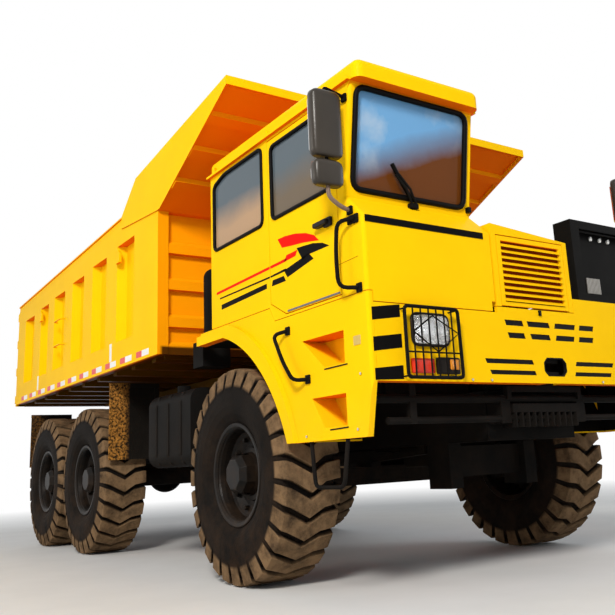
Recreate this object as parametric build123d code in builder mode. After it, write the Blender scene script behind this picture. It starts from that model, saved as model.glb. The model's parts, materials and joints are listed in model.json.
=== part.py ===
from build123d import *
import os
from math import cos, hypot, pi, radians, sin, sqrt

os.makedirs("parts", exist_ok=True)

# Rigid six-wheel mining dump truck with an offset half cab.
# X points forward, Y to the truck's left, Z up, and X = 0 is the middle of the length.
# Body and running gear are each drawn from a level of their own, as on a real drawing; a finished piece is
# lifted by its group's height, so that the tyres stand on Z = 0.

# Stations along the truck, forward of or behind the front axle
front_axle_x = 2455
wheelbase = 3760
tandem_spacing = 1590
mid_axle_x = front_axle_x - wheelbase
rear_axle_x = mid_axle_x - tandem_spacing
trunnion_x = (mid_axle_x + rear_axle_x) / 2
nose_x = front_axle_x + 1762

# Wheels
wheel_radius = 790
axle_z = 700
body_lift = 50
axle_lift = wheel_radius - axle_z
tyre_half_width = 245
tread_half_width = 182
bead_radius = 352
lug_count = 28
lug_depth = 34
front_track_half = 1425
rear_track_half = 1400
kingpin_y = 1270
spindle_radius = 50
pin_gap = 0.3

# Chassis
rail_inner_y = 330
rail_outer_y = 450
rail_bottom = 880
rail_top = 1220
rail_front_x = nose_x - 275
pivot_x = rear_axle_x - 545
pivot_z = 1350
pivot_radius = 60
rail_rear_x = pivot_x - 315
rear_bar_x = rail_rear_x - 60
tow_bore_radius = 26
tow_pin_x = nose_x - 62
tow_z = 1362

# Front body
body_half_width = 1620
panel = 30
cab_rear_x = front_axle_x - 389
cab_left_y = -539
cab_rear_bottom = 1900
cab_front_bottom = 1795
cab_step_x = front_axle_x + 570
cab_top = 3200
roof_top = 3338
cowl_z = 2278
screen_foot_x = front_axle_x + 1584
screen_foot_z = 2440
screen_head_x = front_axle_x + 1698
screen_head_z = 3189
door_rear_x = front_axle_x + 592
door_front_x = front_axle_x + 1500
door_top = 3180
door_sill = 1812
door_gap = 7
window_low = 2545
window_high = 3160
front_window_low = 2498
apron_bottom = 1247
apron_top_right = 1722
deck_top = 1872
deck_rear_x = front_axle_x - 500
panel_bottom = 927
hood_right_y = -523
hood_left_y = 262
hood_bottom = 1768
hood_top_right = 2358
hood_top_left = 2300
hood_rear_x = front_axle_x - 450
lid_right_y = -472
lid_left_y = 212
lid_low = 1776
lid_high = 2276

# Load body
bed_half_width = 1725
bed_front_x = front_axle_x - 1312
bed_rear_x = front_axle_x - 6673
bed_bottom = 1822
bed_top_front = 3426
bed_top_rear = 3249
bed_side_depth = 105
pocket_depth = 85
pocket_low = 2090
rail_depth = 295
floor_bottom = 1900
floor_top = 1930
front_wall_x = bed_front_x - 100
canopy_base_z = 3180
canopy_tip_x = front_axle_x + 171
canopy_tip_z = 3904

# Hoist: foot pin and head trunnion are equally far from the tipping shaft
hoist_foot_x = front_axle_x - 1125
hoist_foot_z = 950
hoist_head_z = 1860
hoist_reach = hypot(hoist_foot_x - pivot_x, hoist_foot_z - pivot_z)
hoist_head_x = pivot_x + sqrt(hoist_reach**2 - (hoist_head_z - pivot_z) ** 2)
hoist_closed = hypot(hoist_head_x - hoist_foot_x, hoist_head_z - hoist_foot_z)
hoist_pin_radius = 30
hoist_tube_radius = 59.7
hoist_foot_half = 60

both_sides = (("right", -1), ("left", 1))


def block(x0, x1, y0, y1, z0, z1, mode=Mode.ADD):
    """Box between two opposite corners."""
    with Locations(((x0 + x1) / 2, (y0 + y1) / 2, (z0 + z1) / 2)):
        Box(abs(x1 - x0), abs(y1 - y0), abs(z1 - z0), mode=mode)


def side_plate(points, y0, y1, mode=Mode.ADD):
    """Flat piece drawn in side view as (x, z) points, between two Y faces."""
    with BuildSketch(Plane.XZ.offset(-max(y0, y1))) as profile:
        with BuildLine():
            Polyline(*points, close=True)
        make_face()
    extrude(profile.sketch, amount=abs(y1 - y0), mode=mode)


def front_plate(points, x0, x1, mode=Mode.ADD):
    """Flat piece drawn in front view as (y, z) points, between two X faces."""
    with BuildSketch(Plane.YZ.offset(min(x0, x1))) as profile:
        with BuildLine():
            Polyline(*points, close=True)
        make_face()
    extrude(profile.sketch, amount=abs(x1 - x0), mode=mode)


def rod_y(x, z, y0, y1, radius, mode=Mode.ADD):
    """Round bar or bore along Y."""
    with BuildSketch(Plane.XZ.offset(-max(y0, y1))) as profile:
        with Locations((x, z)):
            Circle(radius)
    extrude(profile.sketch, amount=abs(y1 - y0), mode=mode)


def rod_z(x, y, z0, z1, radius, mode=Mode.ADD):
    """Round bar or bore along Z."""
    with BuildSketch(Plane.XY.offset(min(z0, z1))) as profile:
        with Locations((x, y)):
            Circle(radius)
    extrude(profile.sketch, amount=abs(z1 - z0), mode=mode)


def save(piece, label, lift=body_lift):
    """Lift a finished piece to its place, label it and write its file."""
    placed = piece.part.moved(Location((0, 0, lift)))
    placed.label = label
    export_step(placed, f"parts/{label}.step")


# Chassis frame: two box rails, cross members, rear lamp bar, tipping shaft and the hoist clevis with its pin
cross_members = (
    # rear x, front x, low z, high z
    (rail_front_x - 120, rail_front_x, 880, 990),
    (front_axle_x + 895, front_axle_x + 1015, 640, 860),
    (hoist_foot_x - 85, hoist_foot_x + 85, 870, 1010),
    (-460, -340, 930, 1150),
    (trunnion_x - 80, trunnion_x + 80, 940, 1180),
    (pivot_x - 65, pivot_x + 65, 900, 1180),
)
with BuildPart() as chassis_frame:
    for side in (-1, 1):
        block(rail_rear_x, rail_front_x, side * rail_inner_y, side * rail_outer_y, rail_bottom, rail_top)
        block(pivot_x - 110, pivot_x + 110, side * rail_inner_y, side * rail_outer_y, rail_top, pivot_z)
        rod_y(pivot_x, pivot_z, side * rail_inner_y, side * rail_outer_y, 110)
        side_plate(
            [(front_axle_x + 835, 560), (front_axle_x + 1075, 560), (front_axle_x + 1075, rail_bottom),
             (front_axle_x + 835, rail_bottom)],
            side * rail_inner_y,
            side * rail_outer_y,
        )
    for x0, x1, z0, z1 in cross_members:
        block(x0, x1, -rail_inner_y, rail_inner_y, z0, z1)
    block(rear_bar_x, rail_rear_x, -1250, 1250, 900, 1000)
    for side in (-1, 1):
        block(rear_bar_x, rail_rear_x, side * 950, side * 1250, 1000, 1130)
    for side in (-1, 1):
        block(hoist_foot_x - 60, hoist_foot_x + 60, side * 66, side * 96, rail_bottom, hoist_foot_z)
        rod_y(hoist_foot_x, hoist_foot_z, side * 66, side * 96, 60)
    block(hoist_foot_x - 90, hoist_foot_x + 90, -66, 66, 880, 1011, mode=Mode.SUBTRACT)
    rod_y(pivot_x, pivot_z, -570, 570, pivot_radius)
    rod_y(hoist_foot_x, hoist_foot_z, -96, 96, hoist_pin_radius)
    for z0, z1 in ((905, 935), (965, 995)):
        block(rear_bar_x - 110, rear_bar_x, -70, 70, z0, z1)
    rod_z(rear_bar_x - 60, 0, 905, 995, tow_bore_radius, mode=Mode.SUBTRACT)
save(chassis_frame, "chassis_frame")

# Front axle: dropped beam with a kingpin in each end
beam_outline = [
    (-1190, 640), (-1190, 760), (-1000, 760), (-700, 700), (700, 700), (1000, 760), (1190, 760),
    (1190, 640), (1000, 640), (700, 560), (-700, 560), (-1000, 640),
]
with BuildPart() as front_axle:
    front_plate(beam_outline, front_axle_x - 65, front_axle_x + 65)
    for side in (-1, 1):
        rod_z(front_axle_x, side * kingpin_y, 620, 780, 84)
        block(front_axle_x - 100, front_axle_x + 100, side * 340, side * 440, 700, 735)
        rod_z(front_axle_x, side * kingpin_y, 520, 880, 34)
save(front_axle, "front_axle", axle_lift)

# Steering knuckles: fork round the kingpin, spindle and steering arm
arm_x = front_axle_x - 200
for name, side in both_sides:
    hub_face = side * (front_track_half - 55)
    with BuildPart() as knuckle:
        for z0, z1 in ((530, 610), (790, 870)):
            rod_z(front_axle_x, side * kingpin_y, z0, z1, 78)
            block(front_axle_x - 78, front_axle_x + 78, side * kingpin_y, hub_face, z0, z1)
        block(front_axle_x - 78, front_axle_x + 78, side * 1356, hub_face, 530, 870)
        rod_y(front_axle_x, axle_z, hub_face, side * (front_track_half + 110), spindle_radius)
        block(arm_x, front_axle_x - 70, side * (kingpin_y - 34), side * (kingpin_y + 34), 530, 570)
        rod_z(arm_x, side * kingpin_y, 530, 570, 38)
        rod_z(front_axle_x, side * kingpin_y, 520, 880, 34 + pin_gap, mode=Mode.SUBTRACT)
    save(knuckle, f"knuckle_{name}", axle_lift)

# Track rod lies on the steering arms, its end eyes open
with BuildPart() as track_rod:
    rod_y(arm_x, 605, -kingpin_y + 30, kingpin_y - 30, 20)
    for side in (-1, 1):
        rod_z(arm_x, side * kingpin_y, 580, 630, 38)
        rod_z(arm_x, side * kingpin_y, 580, 630, 18, mode=Mode.SUBTRACT)
save(track_rod, "track_rod", axle_lift)

# Suspension: front leaf springs, and tandem leaf packs on trunnion stubs under the rails
rail_underside = rail_bottom + body_lift - axle_lift
with BuildPart() as suspension:
    for side in (-1, 1):
        side_plate(
            [(front_axle_x - 780, 777), (front_axle_x - 780, 812), (front_axle_x - 400, 800),
             (front_axle_x - 120, 822), (front_axle_x + 120, 822), (front_axle_x + 400, 800),
             (front_axle_x + 780, 812), (front_axle_x + 780, 777), (front_axle_x + 400, 752),
             (front_axle_x + 120, 735), (front_axle_x - 120, 735), (front_axle_x - 400, 752)],
            side * 345,
            side * 435,
        )
        for end in (-1, 1):
            block(
                front_axle_x + end * 740 - 40,
                front_axle_x + end * 740 + 40,
                side * 345,
                side * 435,
                808,
                rail_underside,
            )
    for side in (-1, 1):
        side_plate(
            [(rear_axle_x - 110, 840), (rear_axle_x - 110, 880), (trunnion_x - 300, 960),
             (trunnion_x - 120, 1000), (trunnion_x + 120, 1000), (trunnion_x + 300, 960),
             (mid_axle_x + 110, 880), (mid_axle_x + 110, 840), (trunnion_x + 200, 850), (trunnion_x - 200, 850)],
            side * 560,
            side * 680,
        )
        side_plate(
            [(trunnion_x - 150, 850), (trunnion_x + 150, 850), (trunnion_x + 90, 600), (trunnion_x - 90, 600)],
            side * 560,
            side * 680,
        )
        side_plate(
            [(trunnion_x - 200, rail_underside), (trunnion_x + 200, rail_underside), (trunnion_x + 90, 600),
             (trunnion_x - 90, 600)],
            side * rail_inner_y,
            side * rail_outer_y,
        )
        rod_y(trunnion_x, 690, side * rail_inner_y, side * 700, 70)
save(suspension, "suspension", axle_lift)

# Driven axles: tube, differential and spindles
with BuildPart() as drive_axles:
    for axle_x, noses in ((mid_axle_x, ((236, 765), (-236, 690))), (rear_axle_x, ((236, 690),))):
        rod_y(axle_x, axle_z, -1300, 1300, 105)
        with Locations((axle_x, 0, axle_z)):
            Sphere(235)
        for nose_end, nose_z in noses:
            with BuildSketch(Plane.YZ.offset(axle_x)):
                with Locations((0, nose_z)):
                    Circle(66)
            extrude(amount=nose_end)
        rod_y(axle_x, axle_z, -(rear_track_half + 110), rear_track_half + 110, spindle_radius)
        for side in (-1, 1):
            rod_y(axle_x, axle_z, side * 1180, side * (rear_track_half - 55), 190)
            block(axle_x - 90, axle_x + 90, side * 555, side * 685, axle_z, 840)
save(drive_axles, "drive_axles", axle_lift)

# Engine with gearbox as plain blocks, and the propeller shafts
gearbox_rear_x = front_axle_x - 675
with BuildPart() as engine:
    block(front_axle_x + 175, front_axle_x + 1175, -300, 200, 900, 1950)
save(engine, "engine")
with BuildPart() as driveline:
    block(gearbox_rear_x, front_axle_x - 125, -240, 240, 740, 1260)
    block(front_axle_x - 125, front_axle_x + 175, -200, 200, 920, 1260)
    with BuildSketch(Plane.YZ.offset(mid_axle_x + 236)):
        with Locations((0, 765)):
            Circle(55)
    extrude(amount=gearbox_rear_x - mid_axle_x - 236)
    with BuildSketch(Plane.YZ.offset(rear_axle_x + 236)):
        with Locations((0, 690)):
            Circle(50)
    extrude(amount=tandem_spacing - 472)
save(driveline, "driveline", axle_lift)

# Radiator behind the grille and the core of the cooler box
core_rear_x = nose_x - 525
with BuildPart() as radiator_cores:
    block(core_rear_x, core_rear_x + 110, -320, 230, 1000, 2050)
    for count in range(12):
        fin_y = -300 + count * 46
        block(core_rear_x + 110, core_rear_x + 125, fin_y, fin_y + 20, 1020, 2030)
    block(nose_x - 150, nose_x - 70, 440, 1373, deck_top + 60, 2440)
save(radiator_cores, "radiator_cores")

# Finned oil cooler, cross tubes and tow jaw behind the apron
with BuildPart() as under_nose:
    block(nose_x - 235, nose_x - 125, -335, 335, 1060, 1120)
    for count in range(11):
        fin_y = -325 + count * 63
        block(nose_x - 245, nose_x - 115, fin_y, fin_y + 14, 960, 1060)
    rod_y(nose_x - 160, 1155, -1560, 1560, 28)
    rod_y(nose_x - 160, 1020, -1400, 1400, 22)
    for side in (-1, 1):
        block(nose_x - 182, nose_x - 138, side * 1180, side * 1230, 1000, 1247)
        block(rail_front_x, nose_x - 138, side * 345, side * 435, 990, 1180)
        block(nose_x - 140, nose_x - 118, side * 70, side * 345, 1200, 1240)
        block(nose_x - 155, nose_x - 118, side * 345, side * 385, 1150, 1240)
    block(nose_x - 140, nose_x - 118, -80, 80, 1200, 1420)
    for z0, z1 in ((1303, 1331), (1393, 1421)):
        block(nose_x - 118, nose_x - 30, -60, 60, z0, z1)
    rod_z(tow_pin_x, 0, 1303, 1421, tow_bore_radius, mode=Mode.SUBTRACT)
save(under_nose, "under_nose")

# Fuel tank on the right, hydraulic tank and battery box on the left
tank_rear_x = front_axle_x - 1930
tank_front_x = front_axle_x - 965
with BuildPart() as fuel_tank:
    block(tank_rear_x, tank_front_x, -1560, -560, 820, 1490)
    fillet(fuel_tank.edges().filter_by(Axis.X), radius=110)
    for bracket_x in (tank_rear_x + 200, tank_front_x - 260):
        block(bracket_x, bracket_x + 60, -1000, -rail_outer_y, 1080, 1180)
    rod_z(tank_front_x - 500, -1400, 1480, 1550, 60)
save(fuel_tank, "fuel_tank")
with BuildPart() as hydraulic_tank:
    block(tank_rear_x, tank_front_x - 260, 560, 1520, 820, 1440)
    fillet(hydraulic_tank.edges().filter_by(Axis.X), radius=60)
    for bracket_x in (tank_rear_x + 120, tank_front_x - 460):
        block(bracket_x, bracket_x + 60, rail_outer_y, 700, 1080, 1180)
    rod_z(tank_front_x - 600, 1380, 1440, 1500, 60)
save(hydraulic_tank, "hydraulic_tank")

# Air intake pipe behind the cab and the silencer on the left
intake_x = front_axle_x - 770
with BuildPart() as stacks:
    rod_z(intake_x, -1420, 1900, 2430, 88)
    with Locations((intake_x, -1420, 2430)):
        Sphere(88)
    block(intake_x - 60, intake_x + 60, -1420, -rail_outer_y, 1860, 1900)
    block(intake_x - 60, intake_x + 60, -500, -rail_inner_y, rail_top, 1860)
    block(intake_x - 130, intake_x + 70, -1560, -1300, 1640, 1860)
    rod_z(intake_x, 760, 1700, 2600, 130)
    rod_z(intake_x, 760, 2600, 3150, 60)
    block(intake_x - 60, intake_x + 60, rail_inner_y, 900, 1640, 1700)
    block(intake_x - 60, intake_x + 60, rail_inner_y, rail_outer_y, rail_top, 1640)
save(stacks, "stacks")

# Mudflaps on angled arms ahead of and behind the tandem wheels
flap_rows = (
    # x, top of the rubber
    (mid_axle_x + 850, 1690),
    (rear_axle_x - 825, 1600),
)
with BuildPart() as mudflaps:
    for flap_x, flap_top in flap_rows:
        arm_top = flap_top + 40
        for side in (-1, 1):
            front_plate(
                [(side * rail_outer_y, 1100), (side * 1130, 1100), (side * 1130, flap_top), (side * 1620, flap_top),
                 (side * 1620, arm_top), (side * 1080, arm_top), (side * 1080, 1150), (side * rail_outer_y, 1150)],
                flap_x - 25,
                flap_x + 25,
            )
            block(flap_x - 10, flap_x + 10, side * 1130, side * 1620, 930, flap_top)
save(mudflaps, "mudflaps")

# Front apron: full-width panel with slots and the tow opening
apron_slots = (
    # right end, left end, low z, high z
    (-468, -294, 1638, 1677),
    (-250, -24, 1638, 1677),
    (43, 265, 1638, 1677),
    (311, 473, 1638, 1677),
    (-448, -285, 1551, 1590),
    (-226, -29, 1551, 1590),
    (46, 245, 1551, 1590),
    (296, 457, 1551, 1590),
    (-683, -229, 1374, 1406),
    (230, 655, 1374, 1406),
    (-647, -212, 1301, 1331),
    (212, 620, 1301, 1331),
)
slot_slant = 13
tow_outline = [
    (-118, tow_z - 30), (-82, tow_z - 66), (82, tow_z - 66), (118, tow_z - 30),
    (118, tow_z + 30), (82, tow_z + 66), (-82, tow_z + 66), (-118, tow_z + 30),
]
apron_half = body_half_width - 42
with BuildPart() as front_apron:
    front_plate(
        [(-apron_half, apron_bottom), (apron_half, apron_bottom), (apron_half, deck_top),
         (hood_left_y + 5, deck_top), (hood_left_y + 5, hood_bottom - 5), (hood_right_y - 5, hood_bottom - 5),
         (hood_right_y - 5, apron_top_right), (-apron_half, apron_top_right)],
        nose_x - 25,
        nose_x,
    )
    block(nose_x - 100, nose_x - 25, -apron_half, apron_half, apron_bottom, apron_bottom + 12)
    block(nose_x - 101, nose_x - 25, -70, 70, apron_bottom, apron_bottom + 12, mode=Mode.SUBTRACT)
    for right_end, left_end, low_z, high_z in apron_slots:
        shift = slot_slant if right_end < 0 else -slot_slant
        front_plate(
            [(right_end + shift, low_z), (left_end + shift, low_z), (left_end, high_z), (right_end, high_z)],
            nose_x - 40,
            nose_x + 5,
            mode=Mode.SUBTRACT,
        )
    front_plate(tow_outline, nose_x - 40, nose_x + 5, mode=Mode.SUBTRACT)
save(front_apron, "front_apron")

# Fender and step panels: skin, raised arch flare, liner and two step pockets; the left one carries the deck
arch_low = (front_axle_x + 822, panel_bottom)
arch_mid = (front_axle_x + 488, 1440)
arch_high = (front_axle_x - 120, 1787)
flare_low = (front_axle_x + 905, panel_bottom)
flare_mid = (front_axle_x + 553, 1540)
flare_high = (front_axle_x - 60, 1880)
liner_low = (front_axle_x + 885, panel_bottom)
liner_mid = (front_axle_x + 590, 1480)
fender_rear_x = front_axle_x - 610
flare_y = body_half_width + 38
corner_radius = 26
pockets = (
    # low front x, low rear x, high rear x, low z, high z
    (front_axle_x + 1493, front_axle_x + 1262, front_axle_x + 1001, 1385, 1590),
    (front_axle_x + 1488, front_axle_x + 1237, front_axle_x + 1098, 1004, 1200),
)
for name, side in both_sides:
    skin_top = cab_front_bottom - 5 if side < 0 else deck_top
    rear_top = cab_rear_bottom - 5
    with BuildPart() as step_panel:
        with BuildSketch(Plane.XZ.offset(-side * (body_half_width if side > 0 else body_half_width - 40))):
            with BuildLine():
                ThreePointArc(arch_low, arch_mid, arch_high)
                Polyline(
                    arch_high,
                    (fender_rear_x, arch_high[1]),
                    (fender_rear_x, rear_top if side < 0 else skin_top),
                    (cab_step_x, rear_top if side < 0 else skin_top),
                    (cab_step_x + 70, skin_top),
                    (nose_x, skin_top),
                    (nose_x, apron_bottom),
                    (nose_x - 70, panel_bottom),
                    arch_low,
                )
            make_face()
        extrude(amount=40)
        nose_edges = step_panel.edges().filter_by(Axis.Z).filter_by(
            lambda edge: edge.center().X > nose_x - 1 and abs(edge.center().Y) > body_half_width - 1
        )
        fillet(nose_edges, radius=corner_radius)
        with BuildSketch(Plane.XZ.offset(-side * (flare_y if side > 0 else body_half_width - 40))):
            with BuildLine():
                ThreePointArc(arch_low, arch_mid, arch_high)
                Line(arch_high, (fender_rear_x, arch_high[1]))
                Line((fender_rear_x, arch_high[1]), (fender_rear_x, 1862))
                Line((fender_rear_x, 1862), flare_high)
                ThreePointArc(flare_high, flare_mid, flare_low)
                Line(flare_low, arch_low)
            make_face()
        extrude(amount=flare_y - body_half_width + 40)
        with BuildSketch(Plane.XZ.offset(-side * (body_half_width - 30 if side > 0 else 1090))):
            with BuildLine():
                ThreePointArc(liner_low, liner_mid, arch_high)
                Line(arch_high, (fender_rear_x, arch_high[1]))
                Line((fender_rear_x, arch_high[1]), (fender_rear_x, arch_high[1] + 12))
                Line((fender_rear_x, arch_high[1] + 12), (arch_high[0], arch_high[1] + 12))
                ThreePointArc(
                    (arch_high[0], arch_high[1] + 12),
                    (liner_mid[0] + 8, liner_mid[1] + 9),
                    (liner_low[0] + 12, liner_low[1]),
                )
                Line((liner_low[0] + 12, liner_low[1]), liner_low)
            make_face()
        extrude(amount=500)
        if side > 0:
            block(deck_rear_x, nose_x - 25, hood_left_y + 5, body_half_width - 40, deck_top - 30, deck_top)
        for low_front, low_rear, high_rear, z0, z1 in pockets:
            outline = [(low_rear, z0), (high_rear, z1), (low_front, z1), (low_front, z0)]
            shell = [(low_rear - 14, z0 - 10), (high_rear - 20, z1 + 10), (low_front + 10, z1 + 10),
                     (low_front + 10, z0 - 10)]
            side_plate(shell, side * (body_half_width - 190), side * (body_half_width - 40))
            side_plate(outline, side * (body_half_width - 180), side * (body_half_width + 10), mode=Mode.SUBTRACT)
    save(step_panel, f"step_panel_{name}")

# Hood: pitched cover over the engine, open behind and below
hood_skin = 20
with BuildPart() as hood:
    front_plate(
        [(hood_right_y, hood_bottom), (hood_right_y, hood_top_right), (hood_left_y, hood_top_left),
         (hood_left_y, deck_top + 5), (hood_left_y - hood_skin, deck_top + 5),
         (hood_left_y - hood_skin, hood_top_left - 18), (hood_right_y + hood_skin, hood_top_right - 22),
         (hood_right_y + hood_skin, hood_bottom)],
        hood_rear_x,
        nose_x - hood_skin,
    )
    front_plate(
        [(hood_right_y, hood_bottom), (hood_right_y, hood_top_right), (hood_left_y, hood_top_left),
         (hood_left_y, hood_bottom)],
        nose_x - hood_skin,
        nose_x,
    )
    block(nose_x - hood_skin, nose_x, lid_right_y - 7, lid_left_y + 7, hood_bottom, lid_high + 7, mode=Mode.SUBTRACT)
save(hood, "hood")

# Grille lid: louvred frame hinged along its top edge
lid_depth = 18
louvre_count = 10
louvre_low = lid_low + 32
louvre_pitch = (lid_high - 36 - louvre_low) / louvre_count
with BuildPart() as grille_lid:
    block(nose_x - lid_depth, nose_x, lid_right_y, lid_left_y, lid_low, lid_high)
    block(
        nose_x - lid_depth,
        nose_x,
        lid_right_y + 38,
        lid_left_y - 38,
        louvre_low - 4,
        lid_high - 34,
        mode=Mode.SUBTRACT,
    )
    for count in range(louvre_count):
        louvre_z = louvre_low + count * louvre_pitch
        side_plate(
            [(nose_x - lid_depth, louvre_z + 24), (nose_x - lid_depth, louvre_z + 29), (nose_x + 8, louvre_z + 5),
             (nose_x + 8, louvre_z)],
            lid_right_y + 36,
            lid_left_y - 36,
        )
save(grille_lid, "grille_lid")

# Cooler box standing on the left deck, open through its core
box_right_y = 343
box_left_y = 1430
box_top = 2504
box_depth = 165
with BuildPart() as cooler_box:
    block(nose_x - box_depth, nose_x, box_right_y, box_left_y, deck_top, box_top)
    block(
        nose_x - box_depth - 10,
        nose_x + 10,
        box_right_y + 97,
        box_left_y - 57,
        deck_top + 60,
        box_top - 64,
        mode=Mode.SUBTRACT,
    )
save(cooler_box, "cooler_box")

# Cab floor
inner_right = -body_half_width + panel
inner_left = cab_left_y - panel
with BuildPart() as cab_floor:
    block(cab_rear_x + panel, nose_x - panel, inner_right, inner_left, cab_rear_bottom, cab_rear_bottom + 50)
save(cab_floor, "cab_floor")

# Cab side outline shared by both side walls
cab_outline = [
    (cab_rear_x, cab_rear_bottom),
    (cab_rear_x, cab_top),
    (screen_head_x + 8, cab_top),
    (screen_head_x, screen_head_z),
    (screen_foot_x, screen_foot_z),
    (nose_x, cowl_z),
    (nose_x, cab_front_bottom),
    (cab_step_x + 70, cab_front_bottom),
    (cab_step_x, cab_rear_bottom),
]
rear_window = [
    (front_axle_x - 318, window_low),
    (front_axle_x - 318, window_high - 50),
    (front_axle_x - 120, window_high),
    (front_axle_x + 510, window_high),
    (front_axle_x + 510, window_low),
]
door_window = [
    (front_axle_x + 655, window_low),
    (front_axle_x + 655, window_high - 45),
    (front_axle_x + 1420, window_high - 45),
    (front_axle_x + 1420, window_low),
]
left_window = [
    (front_axle_x - 100, window_low),
    (front_axle_x - 100, window_high),
    (front_axle_x + 1450, window_high),
    (front_axle_x + 1400, window_low),
]


def door_shape(gap):
    """Door outline with a cut lower rear corner, drawn inside the opening by a gap."""
    return [
        (door_rear_x + gap, 1922 + gap * 0.6),
        (door_rear_x + gap, door_top - gap),
        (door_front_x - gap, door_top - gap),
        (door_front_x - gap, door_sill + gap),
        (door_rear_x + 212 + gap * 0.6, door_sill + gap),
    ]


def round_corners(points, radius, y0, y1, mode=Mode.ADD):
    """Flat piece in side view with every corner rounded."""
    with BuildSketch(Plane.XZ.offset(-max(y0, y1))) as profile:
        with BuildLine():
            Polyline(*points, close=True)
        make_face()
        fillet(profile.vertices(), radius=radius)
    extrude(profile.sketch, amount=abs(y1 - y0), mode=mode)


window_corner = 45
with BuildPart() as cab_right_side:
    side_plate(cab_outline, -body_half_width, -body_half_width + panel)
    round_corners(rear_window, window_corner, -body_half_width, -body_half_width + panel, mode=Mode.SUBTRACT)
    side_plate(door_shape(0), -body_half_width, -body_half_width + panel, mode=Mode.SUBTRACT)
    pillar_edges = cab_right_side.edges().filter_by(
        lambda edge: edge.center().Y < 1 - body_half_width and edge.center().X > screen_foot_x and edge.length > 150
    )
    fillet(pillar_edges, radius=corner_radius)
save(cab_right_side, "cab_right_side")
with BuildPart() as cab_left_side:
    side_plate(cab_outline, cab_left_y - panel, cab_left_y)
    round_corners(left_window, window_corner, cab_left_y - panel, cab_left_y, mode=Mode.SUBTRACT)
save(cab_left_side, "cab_left_side")

# Cab rear wall with its window
rear_glass = (-1450, -720, window_low, 3100)
with BuildPart() as cab_rear_wall:
    block(cab_rear_x, cab_rear_x + panel, inner_right, inner_left, cab_rear_bottom, cab_top)
    block(cab_rear_x, cab_rear_x + panel, *rear_glass, mode=Mode.SUBTRACT)
save(cab_rear_wall, "cab_rear_wall")

# Cab front: lower panel, sloping cowl and windscreen frame
screen_right_y = -1566
screen_left_y = -600
with BuildPart() as cab_front:
    side_plate(
        [(nose_x - panel, apron_top_right + 6), (nose_x, apron_top_right + 6), (nose_x, cowl_z),
         (screen_foot_x, screen_foot_z), (screen_head_x, screen_head_z), (screen_head_x + 8, cab_top),
         (screen_head_x - 40, cab_top), (screen_head_x - 45, screen_head_z), (screen_foot_x - 45, screen_foot_z - 20),
         (nose_x - panel, cowl_z - 20)],
        inner_right,
        inner_left,
    )
    with BuildSketch(Plane.YZ.offset(screen_foot_x - 80)) as screen_hole:
        with Locations(((screen_right_y + screen_left_y) / 2, (front_window_low + window_high + 15) / 2)):
            RectangleRounded(screen_left_y - screen_right_y, window_high + 15 - front_window_low, window_corner)
    extrude(screen_hole.sketch, amount=250, mode=Mode.SUBTRACT)
    block(nose_x - panel, nose_x, inner_right, inner_right + 15, apron_top_right, cab_front_bottom, mode=Mode.SUBTRACT)
save(cab_front, "cab_front")

# Cab roof: rounded crown that ends in a visor over the windscreen, with a drip edge along each side
with BuildPart() as cab_roof:
    with BuildSketch(Plane.XY.offset(cab_top)):
        with Locations(((cab_rear_x + nose_x + 20) / 2, (cab_left_y - body_half_width) / 2)):
            RectangleRounded(nose_x - cab_rear_x + 40, body_half_width + cab_left_y + 10, 60)
    extrude(amount=roof_top - cab_top)
    crown = cab_roof.faces().sort_by(Axis.Z)[-1]
    fillet(crown.edges(), radius=55)
    for edge_y, wall_y in ((-body_half_width - 30, -body_half_width), (cab_left_y, cab_left_y + 30)):
        block(cab_rear_x - 20, nose_x - 45, edge_y, wall_y, cab_top, cab_top + 18)
save(cab_roof, "cab_roof")

# Cab glass
lean = (screen_head_x - screen_foot_x) / (screen_head_z - screen_foot_z)
with BuildPart() as cab_glass:
    side_plate(
        [(screen_foot_x - 25 + (front_window_low - screen_foot_z) * lean, front_window_low),
         (screen_foot_x - 17 + (front_window_low - screen_foot_z) * lean, front_window_low),
         (screen_foot_x - 17 + (window_high + 15 - screen_foot_z) * lean, window_high + 15),
         (screen_foot_x - 25 + (window_high + 15 - screen_foot_z) * lean, window_high + 15)],
        screen_right_y,
        screen_left_y,
    )
    extrude(screen_hole.sketch, amount=250, mode=Mode.INTERSECT)
    round_corners(rear_window, window_corner, -body_half_width + 8, -body_half_width + 16)
    round_corners(left_window, window_corner, cab_left_y - 16, cab_left_y - 8)
    block(cab_rear_x + 8, cab_rear_x + 16, *rear_glass)
save(cab_glass, "cab_glass")

# Door with its pull handle, hinged at its rear edge
with BuildPart() as door:
    side_plate(door_shape(door_gap), -body_half_width, -body_half_width + panel)
    round_corners(door_window, window_corner, -body_half_width, -body_half_width + panel, mode=Mode.SUBTRACT)
    handle_x = front_axle_x + 1255
    block(handle_x, handle_x + 150, -body_half_width - 42, -body_half_width - 20, 2310, 2336)
    for post_x in (handle_x, handle_x + 122):
        block(post_x, post_x + 28, -body_half_width - 20, -body_half_width, 2310, 2336)
save(door, "door")
with BuildPart() as door_glass:
    round_corners(door_window, window_corner, -body_half_width + 8, -body_half_width + 16)
save(door_glass, "door_glass")

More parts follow.
